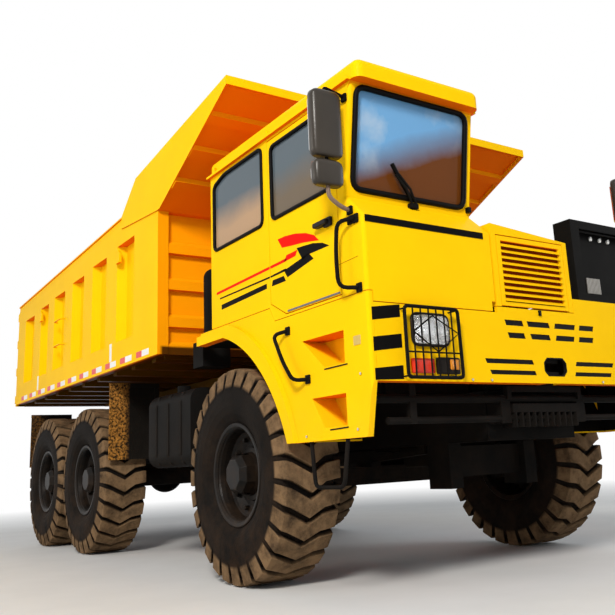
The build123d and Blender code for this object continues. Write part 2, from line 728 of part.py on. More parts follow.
# Cab inside: dashboard with steering column, seat and steering wheel
floor_z = cab_rear_bottom + 50
wheel_lean = 30
wheel_plane = Plane(
    origin=(front_axle_x + 1155, -1080, 2500),
    x_dir=(0, 1, 0),
    z_dir=(-sin(radians(wheel_lean)), 0, cos(radians(wheel_lean))),
)
column_length = 330
dash_front_x = screen_foot_x - 60
with BuildPart() as dashboard:
    side_plate(
        [(dash_front_x, floor_z), (dash_front_x, 2290), (dash_front_x - 90, 2370), (dash_front_x - 170, 2340),
         (dash_front_x - 130, floor_z)],
        inner_right + 10,
        inner_left - 10,
    )
    with BuildSketch(wheel_plane.offset(-6)):
        Circle(32)
    extrude(amount=-column_length)
save(dashboard, "dashboard")
seat_rear_x = front_axle_x + 400
with BuildPart() as seat_base:
    block(seat_rear_x + 20, seat_rear_x + 470, -1300, -860, floor_z, 2200)
save(seat_base, "seat_base")
with BuildPart() as seat_cushion:
    block(seat_rear_x, seat_rear_x + 520, -1330, -830, 2200, 2320)
    side_plate(
        [(seat_rear_x, 2320), (seat_rear_x + 130, 2320), (seat_rear_x + 40, 3030), (seat_rear_x - 80, 3030)],
        -1330,
        -830,
    )
save(seat_cushion, "seat_cushion")
with BuildPart() as steering_wheel:
    with BuildSketch(wheel_plane):
        Circle(225)
        Circle(195, mode=Mode.SUBTRACT)
        Rectangle(400, 34)
        Circle(50)
    extrude(amount=24)
save(steering_wheel, "steering_wheel")

# Headlamps with their wire guards, and the indicators and tail lamps
guard_inner_y = 940
guard_outer_y = 1400
guard_low = 1257
guard_high = 1707
with BuildPart() as headlamps:
    for side in (-1, 1):
        block(nose_x, nose_x + 35, side * 1000, side * 1300, 1468, 1668)
        block(nose_x, nose_x + 35, side * 940, side * 1132, 1292, 1390)
save(headlamps, "headlamps")
with BuildPart() as signal_lamps:
    for side in (-1, 1):
        block(nose_x, nose_x + 26, side * 1142, side * 1328, 1299, 1381)
        block(rear_bar_x - 18, rear_bar_x, side * 965, side * 1235, 1015, 1115)
save(signal_lamps, "signal_lamps")
with BuildPart() as lamp_guards:
    for side in (-1, 1):
        block(nose_x + 55, nose_x + 75, side * guard_inner_y, side * guard_outer_y, guard_low, guard_high)
        block(
            nose_x + 55,
            nose_x + 75,
            side * (guard_inner_y + 22),
            side * (guard_outer_y - 22),
            guard_low + 22,
            guard_high - 22,
            mode=Mode.SUBTRACT,
        )
        for count in range(6):
            bar_y = side * (guard_inner_y + 65 + count * 63)
            block(nose_x + 59, nose_x + 71, bar_y - 6, bar_y + 6, guard_low + 5, guard_high - 5)
        for y0 in (guard_inner_y, guard_outer_y - 22):
            for z0 in (guard_low, guard_high - 22):
                block(nose_x, nose_x + 56, side * y0, side * (y0 + 22), z0, z0 + 22)
save(lamp_guards, "lamp_guards")

# Mirrors on tube arms: by the cab's front pillar, and on a post at the deck's left edge
mirror_y = 1785
mirror_heads = (
    # half width, half depth, low z, high z
    (115, 48, 2655, 3100),
    (110, 44, 2465, 2628),
)
with BuildPart() as mirrors:
    for side, stem_x in ((-1, front_axle_x + 1640), (1, front_axle_x + 1250)):
        for half_width, half_depth, z0, z1 in mirror_heads:
            lift = 115 if side > 0 else 0
            with BuildSketch(Plane.XY.offset(z0 + lift)):
                with Locations((stem_x, side * mirror_y)):
                    RectangleRounded(2 * half_depth, 2 * half_width, 40)
            extrude(amount=z1 - z0)
    rod_z(front_axle_x + 1640, -mirror_y, 2322, 3150, 14)
    rod_z(front_axle_x + 1250, mirror_y, 1936, 3265, 14)
    for z in (2336, 3136):
        rod_y(front_axle_x + 1640, z, -body_half_width, -mirror_y, 11)
    for z in (1950, 2334):
        rod_y(front_axle_x + 1250, z, 1560, mirror_y, 11)
    rod_z(front_axle_x + 1250, 1560, deck_top, 2348, 14)
save(mirrors, "mirrors")

# Grab handles on the right side and hanging loop steps below both side panels
handle_y = -body_half_width - 85
grab_handles = (
    # top x, top z, bottom x, bottom z
    (front_axle_x + 1600, 2240, front_axle_x + 1600, 1830),
    (front_axle_x + 770, 1700, front_axle_x + 1010, 1320),
)
with BuildPart() as tube_steps:
    for top_x, top_z, low_x, low_z in grab_handles:
        side_plate(
            [(top_x - 14, top_z), (top_x + 14, top_z), (low_x + 14, low_z), (low_x - 14, low_z)],
            handle_y - 14,
            handle_y + 14,
        )
        for end_x, end_z in ((top_x, top_z - 28), (low_x, low_z)):
            block(end_x - 14, end_x + 14, handle_y, -body_half_width, end_z, end_z + 28)
    for side in (-1, 1):
        loop_x = front_axle_x + 1014
        side_plate(
            [(loop_x, panel_bottom), (loop_x + 28, 623), (loop_x + 385, 623), (loop_x + 448, panel_bottom),
             (loop_x + 418, panel_bottom), (loop_x + 362, 653), (loop_x + 55, 653), (loop_x + 30, panel_bottom)],
            side * (body_half_width - 15),
            side * (body_half_width - 40),
        )
save(tube_steps, "tube_steps")

# Bed floor with cross members, long beams and pivot ears
with BuildPart() as bed_floor:
    inner_half = bed_half_width - bed_side_depth
    block(bed_rear_x, front_wall_x, -inner_half, inner_half, floor_bottom, floor_top)
    for count in range(10):
        cross_x = bed_rear_x + 60 + count * 545
        block(cross_x, cross_x + 100, -inner_half, inner_half, 1790, floor_bottom)
    for side in (-1, 1):
        block(pivot_x + 225, front_wall_x, side * rail_inner_y, side * rail_outer_y, 1240, 1790)
        side_plate(
            [(pivot_x - 160, 1790), (pivot_x - 90, pivot_z), (pivot_x + 90, pivot_z), (pivot_x + 230, 1790)],
            side * 470,
            side * 540,
        )
        block(pivot_x - 375, pivot_x + 325, side * 440, side * 570, 1760, 1790)
        rod_y(pivot_x, pivot_z, side * 470, side * 540, 95)
    rod_y(pivot_x, pivot_z, -560, 560, pivot_radius + pin_gap, mode=Mode.SUBTRACT)
save(bed_floor, "bed_floor")

# Bed sides: a falling top rail over six pressed pockets with sloping cheeks between wide ribs
rail_fall = (bed_top_front - bed_top_rear) / (bed_front_x - bed_rear_x)
pocket_cheek = 62
side_pockets = (
    # front and rear edge, behind the front axle
    (1932, 2439),
    (2775, 3263),
    (3571, 4031),
    (4339, 4808),
    (5084, 5457),
    (5805, 6290),
)
bed_outline = [
    (bed_rear_x, bed_bottom),
    (bed_front_x, bed_bottom),
    (bed_front_x, canopy_base_z),
    (front_axle_x - 2284, bed_top_front - 60),
    (front_axle_x - 2284, bed_top_rear + rail_fall * (front_axle_x - 2284 - bed_rear_x)),
    (bed_rear_x, bed_top_rear),
]
with BuildPart() as bed_sides:
    for side in (-1, 1):
        side_plate(bed_outline, side * (bed_half_width - bed_side_depth), side * bed_half_width)
        for front, rear in side_pockets:
            x0 = front_axle_x - rear
            x1 = front_axle_x - front
            top = bed_top_rear + rail_fall * ((x0 + x1) / 2 - bed_rear_x) - rail_depth
            with BuildSketch(Plane.XY.offset(pocket_low)) as pocket:
                with BuildLine():
                    Polyline(
                        (x0, side * (bed_half_width + 1)),
                        (x1, side * (bed_half_width + 1)),
                        (x1 - pocket_cheek, side * (bed_half_width - pocket_depth)),
                        (x0 + pocket_cheek, side * (bed_half_width - pocket_depth)),
                        close=True,
                    )
                make_face()
            extrude(pocket.sketch, amount=top - pocket_low, mode=Mode.SUBTRACT)
save(bed_sides, "bed_sides")

# Bed front wall with level ribs and the hoist ears
with BuildPart() as bed_front_wall:
    block(front_wall_x, front_wall_x + 20, -inner_half, inner_half, 1790, canopy_base_z)
    for rib_z in (1822, 2080, 2432, 2783):
        side_plate(
            [(front_wall_x + 20, rib_z), (bed_front_x - 15, rib_z), (bed_front_x - 15, rib_z + 90),
             (front_wall_x + 20, rib_z + 130)],
            -inner_half,
            inner_half,
        )
    for side in (-1, 1):
        side_plate(
            [(front_wall_x + 20, 1800), (front_wall_x + 20, 2000), (hoist_head_x, 1930), (hoist_head_x, 1800)],
            side * 140,
            side * 170,
        )
        rod_y(hoist_head_x, hoist_head_z, side * 140, side * 170, 65)
    rod_y(hoist_head_x, hoist_head_z, -170, 170, hoist_pin_radius + 1, mode=Mode.SUBTRACT)
save(bed_front_wall, "bed_front_wall")

# Canopy: scoop plate with side wings, a tip beam and ribs below
slope = (canopy_tip_z - 24 - canopy_base_z) / (canopy_tip_x - bed_front_x)
wing_inner_y = bed_half_width
wing_outer_y = bed_half_width + 12
with BuildPart() as canopy:
    side_plate(
        [(bed_front_x, canopy_base_z), (canopy_tip_x, canopy_tip_z - 24), (canopy_tip_x, canopy_tip_z),
         (bed_front_x, canopy_base_z + 24)],
        -wing_inner_y,
        wing_inner_y,
    )
    side_plate(
        [(canopy_tip_x - 60, canopy_tip_z - 60), (canopy_tip_x, canopy_tip_z - 78), (canopy_tip_x, canopy_tip_z),
         (canopy_tip_x - 60, canopy_tip_z - 40)],
        -wing_inner_y,
        wing_inner_y,
    )
    block(front_wall_x, bed_front_x, -inner_half, inner_half, canopy_base_z, canopy_base_z + 24)
    for side in (-1, 1):
        side_plate(
            [(front_axle_x - 2290, 3262), (front_axle_x - 2290, 3392), (front_axle_x - 1890, 3688),
             (canopy_tip_x, canopy_tip_z), (canopy_tip_x, canopy_tip_z - 78), (bed_front_x + 60, canopy_base_z),
             (bed_front_x - 20, canopy_base_z)],
            side * wing_inner_y,
            side * wing_outer_y,
        )
    for count in range(3):
        rib_x = bed_front_x + 330 + count * 370
        rib_z = canopy_base_z + slope * (rib_x - bed_front_x)
        side_plate(
            [(rib_x, rib_z + 2), (rib_x + 90, rib_z + 2 + 90 * slope), (rib_x + 90, rib_z + 90 * slope - 45),
             (rib_x, rib_z - 45)],
            -wing_inner_y,
            wing_inner_y,
        )
save(canopy, "canopy")

# Tailgate hung from its top edge
gate_top = bed_top_rear - 80
with BuildPart() as tailgate:
    block(bed_rear_x - 26, bed_rear_x - 6, -bed_half_width, bed_half_width, 1800, gate_top)
    for count in range(4):
        rib_z = 1840 + count * 400
        block(bed_rear_x - 80, bed_rear_x - 26, -bed_half_width, bed_half_width, rib_z, rib_z + 110)
save(tailgate, "tailgate")


# Telescopic hoist: a base tube on the foot pin, two sleeves and a cover that carries the head trunnion
hoist_plane = Plane(
    origin=(hoist_foot_x, 0, hoist_foot_z),
    x_dir=(0, 1, 0),
    z_dir=(hoist_head_x - hoist_foot_x, 0, hoist_head_z - hoist_foot_z),
)
cover_start = hoist_closed - 80
cover_stop = cover_start + 1370
with BuildPart() as hoist_base_tube:
    with BuildSketch(hoist_plane):
        Circle(hoist_tube_radius)
    extrude(amount=cover_stop - 80)
    rod_y(hoist_foot_x, hoist_foot_z, -hoist_foot_half, hoist_foot_half, 65)
    rod_y(hoist_foot_x, hoist_foot_z, -hoist_foot_half, hoist_foot_half, hoist_pin_radius + pin_gap, mode=Mode.SUBTRACT)
save(hoist_base_tube, "hoist_base_tube")
hoist_sleeves = (
    ("hoist_sleeve_inner", 76.7, 60, cover_start - 40, cover_stop - 60),
    ("hoist_sleeve_outer", 94.7, 77, cover_start - 20, cover_stop - 40),
    ("hoist_cover", 112, 95, cover_start, cover_stop - 20),
)
for name, outer, inner, start, stop in hoist_sleeves:
    with BuildPart() as sleeve:
        with BuildSketch(hoist_plane.offset(start)):
            Circle(outer)
            Circle(inner, mode=Mode.SUBTRACT)
        extrude(amount=stop - start)
        if name == "hoist_cover":
            with BuildSketch(hoist_plane.offset(stop)):
                Circle(outer)
            extrude(amount=20)
            for side in (-1, 1):
                rod_y(hoist_head_x, hoist_head_z, side * 100, side * 132, 62)
                rod_y(hoist_head_x, hoist_head_z, side * 110, side * 132, hoist_pin_radius + 1, mode=Mode.SUBTRACT)
    save(sleeve, name)

# Wheels: tyre with bar lugs on a dished rim with an eight-sided hub
wheels = (
    # name, x, half track, side, hub length
    ("front_right", front_axle_x, front_track_half, -1, 100),
    ("front_left", front_axle_x, front_track_half, 1, 100),
    ("mid_right", mid_axle_x, rear_track_half, -1, 70),
    ("mid_left", mid_axle_x, rear_track_half, 1, 70),
    ("rear_right", rear_axle_x, rear_track_half, -1, 70),
    ("rear_left", rear_axle_x, rear_track_half, 1, 70),
)
tread_root = wheel_radius - lug_depth
shoulder_radius = wheel_radius - 62
crest_outer = 585
crest_inner = 500
lug_angle = 2 * pi / lug_count
lug_tip = wheel_radius / cos(0.34 * lug_angle)
lug_root = tread_root - 12
lug_steps = (
    # share of one lug's angle, radius
    (-0.39, lug_root),
    (-0.34, lug_tip),
    (0.34, lug_tip),
    (0.39, lug_root),
)
outer_rings = (
    # distance across the tyre, radius of the outer polygon
    (-tyre_half_width, crest_outer),
    (-226, shoulder_radius),
    (-196, tread_root + 4),
    (196, tread_root + 4),
    (226, shoulder_radius),
    (tyre_half_width, crest_outer),
)
inner_rings = (
    # distance across the tyre, least radius of the hollow
    (-tyre_half_width, crest_inner),
    (-170, bead_radius),
    (170, bead_radius),
    (tyre_half_width, crest_inner),
)
lug_ring = []
for count in range(lug_count):
    for share, radius in lug_steps:
        angle = (count + share) * lug_angle - pi / 2
        lug_ring.append((radius * cos(angle), radius * sin(angle)))
for name, x, half_track, side, hub_length in wheels:
    centre = (x, side * half_track, axle_z)
    turning = Axis(centre, (0, 1, 0))
    section_plane = Plane(origin=centre, x_dir=(1, 0, 0), z_dir=(0, 0, side))
    hub_plane = Plane(origin=centre, x_dir=(1, 0, 0), z_dir=(0, side, 0))
    with BuildPart() as tyre:
        for across, radius in outer_rings:
            with BuildSketch(hub_plane.offset(across)):
                RegularPolygon(radius=radius, side_count=lug_count)
        loft(ruled=True)
        for across, radius in inner_rings:
            with BuildSketch(hub_plane.offset(across)):
                RegularPolygon(radius=radius, side_count=lug_count, major_radius=False)
        loft(ruled=True, mode=Mode.SUBTRACT)
        with BuildSketch(hub_plane.offset(-tread_half_width)):
            with BuildLine():
                Polyline(*lug_ring, close=True)
            make_face()
            RegularPolygon(radius=tread_root - 60, side_count=lug_count, mode=Mode.SUBTRACT)
        extrude(amount=2 * tread_half_width)
    save(tyre, f"tyre_{name}", axle_lift)
    with BuildPart() as rim:
        with BuildSketch(section_plane):
            with BuildLine():
                Polyline(
                    (336, -204), (375, -204), (375, -190), (350, -185), (350, 185), (375, 190), (375, 204),
                    (336, 204), (336, 80), (200, 30), (150, 30), (150, -50), (spindle_radius + pin_gap, -50),
                    (spindle_radius + pin_gap, 114), (0, 114), (0, 130), (150, 130), (150, 60), (200, 50),
                    (336, 100), (336, 60), (322, 60), (322, -180), (336, -190),
                    close=True,
                )
            make_face()
        revolve(axis=turning)
        with BuildSketch(hub_plane.offset(130)):
            RegularPolygon(radius=115, side_count=8)
        extrude(amount=hub_length)
    save(rim, f"rim_{name}", axle_lift)
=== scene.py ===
# %% [markdown]
# # A quarry truck, dressed for its portrait
#
# The imported solids already have every main form of the truck: chassis, half cab, hood, load bed and
# six wheels. This lesson adds what solids don't carry: paint with dust on it, rubber seals, tread
# lugs, lamps behind wire guards, stripes and reflective tape. We start by loading the solids as a
# fixed frame in metres.

# %% Load the frame
import json
import math

import bmesh
import bpy
from mathutils import Matrix, Vector


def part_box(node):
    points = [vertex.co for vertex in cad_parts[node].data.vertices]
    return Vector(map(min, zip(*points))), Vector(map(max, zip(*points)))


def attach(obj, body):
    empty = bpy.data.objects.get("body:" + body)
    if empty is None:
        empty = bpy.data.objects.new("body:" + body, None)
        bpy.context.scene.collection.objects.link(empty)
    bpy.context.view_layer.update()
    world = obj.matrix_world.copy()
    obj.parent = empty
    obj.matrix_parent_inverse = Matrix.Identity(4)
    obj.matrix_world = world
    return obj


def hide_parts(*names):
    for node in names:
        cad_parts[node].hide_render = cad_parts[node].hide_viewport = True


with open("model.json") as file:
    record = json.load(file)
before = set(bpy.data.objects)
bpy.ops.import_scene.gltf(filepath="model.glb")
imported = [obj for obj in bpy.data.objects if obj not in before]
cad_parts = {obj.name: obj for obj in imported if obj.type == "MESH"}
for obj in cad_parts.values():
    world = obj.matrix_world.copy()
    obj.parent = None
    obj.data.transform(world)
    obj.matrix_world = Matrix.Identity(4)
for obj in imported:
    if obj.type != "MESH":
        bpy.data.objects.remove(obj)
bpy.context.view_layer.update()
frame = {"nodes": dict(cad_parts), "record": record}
nodes = frame["nodes"]

# %% [markdown]
# ## Stations
#
# A truck builder measures everything from the front axle. We take that axle from the wheel solid
# itself, and name the few planes that most pieces hang on: the nose, the right side of the cab and
# the outer face of the bed. Heights on the body are counted from its own level, which lies a little
# above the ground, so we also take that level. Naming all this once keeps later cells short and
# keeps the pieces together if the solids change.

# %% Name the stations
def middle(node):
    low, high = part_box(node)
    return (Vector(low) + Vector(high)) / 2


def at(forward_of_axle, across, height):
    """A point given from the front axle, in metres."""
    return (axle_x + forward_of_axle, across, height)


RIGHT, LEFT = -1, 1
SIDES = ((RIGHT, "right"), (LEFT, "left"))
APRON_FOOT = 1.247
axle_x = middle("tyre_front_right").x
wheel_radius = middle("tyre_front_right").z
nose_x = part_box("front_apron")[1][0]
side_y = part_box("cab_right_side")[0][1]
side_out = abs(side_y)
bed_out = abs(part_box("bed_sides")[0][1])
body_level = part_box("front_apron")[0][2] - APRON_FOOT
deck_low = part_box("cooler_box")[0][2] - body_level
print("axle", round(axle_x, 3), "nose", round(nose_x, 3))
print("side", round(side_y, 3), "bed", round(bed_out, 3), "level", round(body_level, 3))

# %% [markdown]
# ## Camera
#
# The photograph is taken from the truck's front right, near knee height, with the camera tilted up
# and rolled a little. The position, the direction and the lens were solved from edges whose real
# places are known. A camera looks along its own minus Z, so its matrix is made of a right, an up and
# a backward column. The small shift stands for the crop of the picture.

# %% Build the camera
SENSOR_WIDTH, FAR_CLIP = 36.0, 200
focus_px, frame_px = 794.6, 615.0
centre_px = Vector((350.1, 269.6))
eye = Vector((axle_x + 5.522, -4.424, body_level + 0.794))
yaw, pitch, roll = 2.521, 0.236, -0.053
forward = Vector((
    math.cos(pitch) * math.cos(yaw), math.cos(pitch) * math.sin(yaw), math.sin(pitch)))
level = forward.cross(Vector((0, 0, 1))).normalized()
upright = level.cross(forward)
right = level * math.cos(roll) + upright * math.sin(roll)
up = upright * math.cos(roll) - level * math.sin(roll)
camera_data = bpy.data.cameras.new("photo_camera")
camera_data.sensor_width = SENSOR_WIDTH
camera_data.lens = focus_px / frame_px * SENSOR_WIDTH
camera_data.shift_x = -(centre_px.x - frame_px / 2) / frame_px
camera_data.shift_y = (centre_px.y - frame_px / 2) / frame_px
camera_data.clip_end = FAR_CLIP
camera = bpy.data.objects.new("photo_camera", camera_data)
bpy.context.scene.collection.objects.link(camera)
camera.matrix_world = Matrix((
    (right.x, up.x, -forward.x, eye.x),
    (right.y, up.y, -forward.y, eye.y),
    (right.z, up.z, -forward.z, eye.z),
    (0, 0, 0, 1),
))
bpy.context.scene.camera = camera
bpy.context.scene.view_settings.view_transform = "Standard"
print("lens", round(camera_data.lens, 2))
print("shift", round(camera_data.shift_x, 4), round(camera_data.shift_y, 4))

# %% [markdown]
# ## Small tools for materials
#
# Every material below is a net of nodes, and the same few steps come back in all of them: a sum, a
# stretch of a value, a mix of two colours, a noise, a bump. Naming each step once keeps a finish
# readable as a recipe. The last tool tells which rays show the background: those from the camera,
# those thrown back by metal and those that pass through glass.

# %% Name the node steps
def feed(net, socket, value):
    """Writes a number or a colour on a socket, or links another node's output to it."""
    if isinstance(value, tuple):
        socket.default_value = (*value, 1)
    elif isinstance(value, (int, float)):
        socket.default_value = value
    else:
        net.links.new(value, socket)


def math_node(net, kind, *values):
    step = net.nodes.new("ShaderNodeMath")
    step.operation = kind
    for socket, value in zip(step.inputs, values):
        feed(net, socket, value)
    return step.outputs[0]


def product(net, first, second):
    return math_node(net, "MULTIPLY", first, second)


def band_node(net, source, low, high, first=0.0, last=1.0):
    """Turns the stretch of a value from low to high into one from first to last."""
    band = net.nodes.new("ShaderNodeMapRange")
    for name, value in (("Value", source), ("From Min", low), ("From Max", high),
                        ("To Min", first), ("To Max", last)):
        feed(net, band.inputs[name], value)
    return band.outputs["Result"]


def mix_node(net, share, first, second):
    mixer = net.nodes.new("ShaderNodeMix")
    mixer.data_type = "RGBA"
    for name, value in (("Factor", share), ("A", first), ("B", second)):
        feed(net, mixer.inputs[name], value)
    return mixer.outputs["Result"]


def coordinate(net, kind, axis=None):
    """The object's own place or its normal; with an axis, that one number of it."""
    whole = net.nodes.new("ShaderNodeTexCoord").outputs[kind]
    if axis is None:
        return whole
    parts = net.nodes.new("ShaderNodeSeparateXYZ")
    net.links.new(whole, parts.inputs[0])
    return parts.outputs[axis]


def noise_node(net, scale, detail, roughness):
    field = net.nodes.new("ShaderNodeTexNoise")
    for name, value in (("Scale", scale), ("Detail", detail), ("Roughness", roughness)):
        field.inputs[name].default_value = value
    net.links.new(coordinate(net, "Object"), field.inputs["Vector"])
    return field.outputs["Fac"]


def relief_node(net, height, strength, distance):
    relief = net.nodes.new("ShaderNodeBump")
    relief.inputs["Strength"].default_value = strength
    relief.inputs["Distance"].default_value = distance
    net.links.new(height, relief.inputs["Height"])
    return relief.outputs["Normal"]


def background_ray(net):
    """One for a ray that shows the background, and nothing for one that lights the truck."""
    ray = net.nodes.new("ShaderNodeLightPath").outputs
    thrown_back = math_node(net, "MAXIMUM", ray["Is Camera Ray"], ray["Is Glossy Ray"])
    return math_node(net, "MAXIMUM", thrown_back, ray["Is Transmission Ray"])


print("node steps", len((math_node, band_node, mix_node, noise_node, relief_node)))

# %% [markdown]
# ## Light
#
# The real truck stands in hard sun. For a library part a plain soft studio light is more useful: one
# large warm key from the right front, a wide cool fill from the left, a broad lamp along the right
# side of the bed, and a pale world. The world shows white to the camera, in metal and through glass,
# but lights the truck only softly.

# %% Light and world
def area_light(name, place, aim, size, power, tint):
    data = bpy.data.lights.new(name, "AREA")
    data.shape = "DISK"
    data.size = size
    data.energy = power
    data.color = tint
    lamp = bpy.data.objects.new(name, data)
    lamp.location = place
    lamp.rotation_euler = (Vector(aim) - Vector(place)).to_track_quat("-Z", "Y").to_euler()
    bpy.context.scene.collection.objects.link(lamp)


studio_lamps = (
    # name, place, aim, size in metres, power in watts, tint
    ("key_light", (12.0, -9.8, 9.3), (0.0, -0.6, 1.6), 3.0, 1960, (1.0, 0.96, 0.9)),
    ("fill_light", (7.0, 10.0, 5.0), (0.5, 0, 1.5), 6.0, 260, (0.9, 0.95, 1.0)),
    ("side_light", (-3.0, -12.5, 4.4), (-1.5, -1.7, 1.9), 6.0, 330, (1.0, 0.93, 0.84)),
)
for lamp_values in studio_lamps:
    area_light(*lamp_values)

SKY_TINT, SKY_STRENGTH = (0.86, 0.93, 1.0, 1), 0.33
world = bpy.data.worlds.new("pale_world")
bpy.context.scene.world = world
world.use_nodes = True
tree = world.node_tree
tree.nodes.clear()
glow = tree.nodes.new("ShaderNodeBackground")
glow.inputs["Color"].default_value = SKY_TINT
glow.inputs["Strength"].default_value = SKY_STRENGTH
paper = tree.nodes.new("ShaderNodeBackground")
paper.inputs["Color"].default_value = (1, 1, 1, 1)
paper.inputs["Strength"].default_value = 1.0
choose = tree.nodes.new("ShaderNodeMixShader")
out = tree.nodes.new("ShaderNodeOutputWorld")
tree.links.new(background_ray(tree), choose.inputs["Fac"])
tree.links.new(glow.outputs[0], choose.inputs[1])
tree.links.new(paper.outputs[0], choose.inputs[2])
tree.links.new(choose.outputs[0], out.inputs["Surface"])
print("lamps", len(bpy.data.lights))

# %% [markdown]
# ## Paint and rubber
#
# Every finish here is one recipe with different numbers. A base colour is varied by a slow noise,
# because paint and rubber are never even. Dust settles by a second, coarser noise and grows towards
# the ground, which the height in the object's own coordinates tells us. A fine noise goes to the
# bump. Constant values, such as the gloss, are written on the shader's own sockets.

# %% The finish recipe
SLOW_NOISE, RELIEF_DEPTH, DUSTY_ROUGHNESS = 1.7, 0.01, 0.9


def finish(name, colour, rough, metal=0.0, grain=40.0, bump=0.05, vary=0.12, dust=None,
           dust_amount=0.0, dust_top=1.2, dust_scale=3.0, specular=0.5):
    made = bpy.data.materials.new(name)
    made.use_nodes = True
    net = made.node_tree
    shader = net.nodes["Principled BSDF"]
    shader.inputs["Roughness"].default_value = rough
    shader.inputs["Metallic"].default_value = metal
    shader.inputs["Specular IOR Level"].default_value = specular
    darker = tuple(c * (1 - vary) for c in colour)
    lighter = tuple(min(1, c * (1 + vary * 0.5)) for c in colour)
    uneven = band_node(net, noise_node(net, SLOW_NOISE, 6.0, 0.6), 0.35, 0.65)
    tone = mix_node(net, uneven, darker, lighter)
    if dust is not None:
        low_down = band_node(net, coordinate(net, "Object", "Z"), 0.1, dust_top, 1.0, 0.0)
        clouds = band_node(net, noise_node(net, dust_scale, 10.0, 0.7), 0.38, 0.66)
        dusty = product(net, product(net, low_down, clouds), dust_amount)
        tone = mix_node(net, dusty, tone, dust)
        rougher = math_node(net, "MULTIPLY_ADD", dusty, DUSTY_ROUGHNESS - rough, rough)
        net.links.new(rougher, shader.inputs["Roughness"])
    net.links.new(tone, shader.inputs["Base Color"])
    fine = relief_node(net, noise_node(net, grain, 4.0, 0.5), bump, RELIEF_DEPTH)
    net.links.new(fine, shader.inputs["Normal"])
    return made


print("recipe ready, relief", RELIEF_DEPTH)

# %% [markdown]
# ## The truck's own finishes
#
# The yellow is a strong warm enamel with little gloss. The blacks differ by what they cover: paint on
# tubes and frames, a darker coat on the rims, rubber on tyres, flaps and seals, cast iron, plastic.
# Each takes a little mud low down, and none of it is pure black, because outdoor black never is.

# %% Mix the finishes
MUD = (0.16, 0.085, 0.042)
DRY_MUD = (0.27, 0.17, 0.1)
paint_yellow = finish(
    "paint_yellow", (1.0, 0.58, 0.003), 0.34, grain=220, bump=0.04, vary=0.04,
    dust=DRY_MUD, dust_amount=0.25, dust_top=1.4, dust_scale=2.2, specular=0.012)
paint_black = finish(
    "paint_black", (0.009, 0.0085, 0.008), 0.42, grain=120, bump=0.08, vary=0.3,
    dust=MUD, dust_amount=0.07, dust_top=1.7, dust_scale=4.0, specular=0.012)
paint_rim = finish(
    "paint_rim", (0.006, 0.0055, 0.005), 0.38, grain=90, bump=0.08, vary=0.3,
    dust=MUD, dust_amount=0.18, dust_top=1.4, dust_scale=6.0, specular=0.1)
rubber_tyre = finish(
    "rubber_tyre", (0.011, 0.0095, 0.0085), 0.6, grain=60, bump=0.3, vary=0.35,
    dust=MUD, dust_amount=0.16, dust_top=1.5, dust_scale=5.0, specular=0.015)
rubber_flap = finish(
    "rubber_flap", (0.012, 0.010, 0.008), 0.8, grain=45, bump=0.6, vary=0.4, specular=0.05)
rubber_seal = finish(
    "rubber_seal", (0.004, 0.0036, 0.0036), 0.5, grain=150, bump=0.1, vary=0.2, specular=0.05)
iron_black = finish(
    "iron_black", (0.009, 0.008, 0.007), 0.55, grain=50, bump=0.3, vary=0.3,
    dust=MUD, dust_amount=0.10, dust_top=1.9, dust_scale=5.0, specular=0.02)
steel_ground = finish(
    "steel_ground", (0.55, 0.54, 0.52), 0.28, metal=1.0, grain=160, bump=0.05, vary=0.1)
plastic_black = finish(
    "plastic_black", (0.012, 0.011, 0.0105), 0.36, grain=300, bump=0.12, vary=0.15,
    dust=DRY_MUD, dust_amount=0.06, dust_top=6.0, dust_scale=3.0, specular=0.06)
plastic_grey = finish("plastic_grey", (0.12, 0.12, 0.12), 0.55, grain=260, bump=0.15, vary=0.1)
cloth_seat = finish("cloth_seat", (0.05, 0.05, 0.055), 0.9, grain=400, bump=0.4, vary=0.2)
film_red = finish(
    "film_red", (0.82, 0.01, 0.006), 0.3, grain=200, bump=0.02, vary=0.04, specular=0.012)
film_black = finish(
    "film_black", (0.006, 0.0055, 0.0055), 0.35, grain=200, bump=0.02, vary=0.1, specular=0.012)
print("finishes", len(bpy.data.materials))

# %% [markdown]
# ## Shade and mud where they belong
#
# Three finishes need more than an even coat, and most of what is laid here is painted light and
# shade. Paint that looks down, such as the canopy's underside, turns to a deeper orange as painted
# shade with a painted warm reflection, and the sheltered wall between cab and bed takes the same
# painted shade. The underside of the bed, low over the wheels, is painted nearly black as the shade
# under the bed. A tread bar is dusty brown on its top and black in the grooves: dust, and also a
# painted light on the tops; a stored value on each point of the tyre says how high it lies. A mudflap
# has painted light along its outer edge, speckled like mud. Each is a mix over the first tone.

# %% Lay the painted shade, light and mud
def overlay(material, share_of, colour):
    """Mixes a colour over a finish; share_of builds the share from the finish's own nodes."""
    net = material.node_tree
    base = net.nodes["Principled BSDF"].inputs["Base Color"]
    tone = base.links[0].from_socket
    net.links.new(mix_node(net, share_of(net), tone, colour), base)


def speckle(net, scale, low, high):
    return band_node(net, noise_node(net, scale, 9.0, 0.7), low, high)


# Painted shade with a painted warm reflection on paint that looks down, such as the canopy's underside.
def shade_facing_down(net):
    downward = band_node(net, coordinate(net, "Normal", "Z"), -0.2, -0.8, last=0.82)
    return product(net, downward, speckle(net, 2.5, -0.4, 0.36))


def sheltered_wall(net):
    """Painted shade on the bed's front wall and the canopy's ribs, which face forward under the canopy.
    """
    facing = band_node(net, coordinate(net, "Normal", "X"), 0.1, 0.7, last=0.62)
    spot_x = coordinate(net, "Object", "X")
    behind_cab = band_node(net, spot_x, axle_x + 0.16, axle_x + 0.10)
    near_front = band_node(net, spot_x, axle_x - 2.4, axle_x - 1.7)
    return product(net, product(net, facing, behind_cab), near_front)


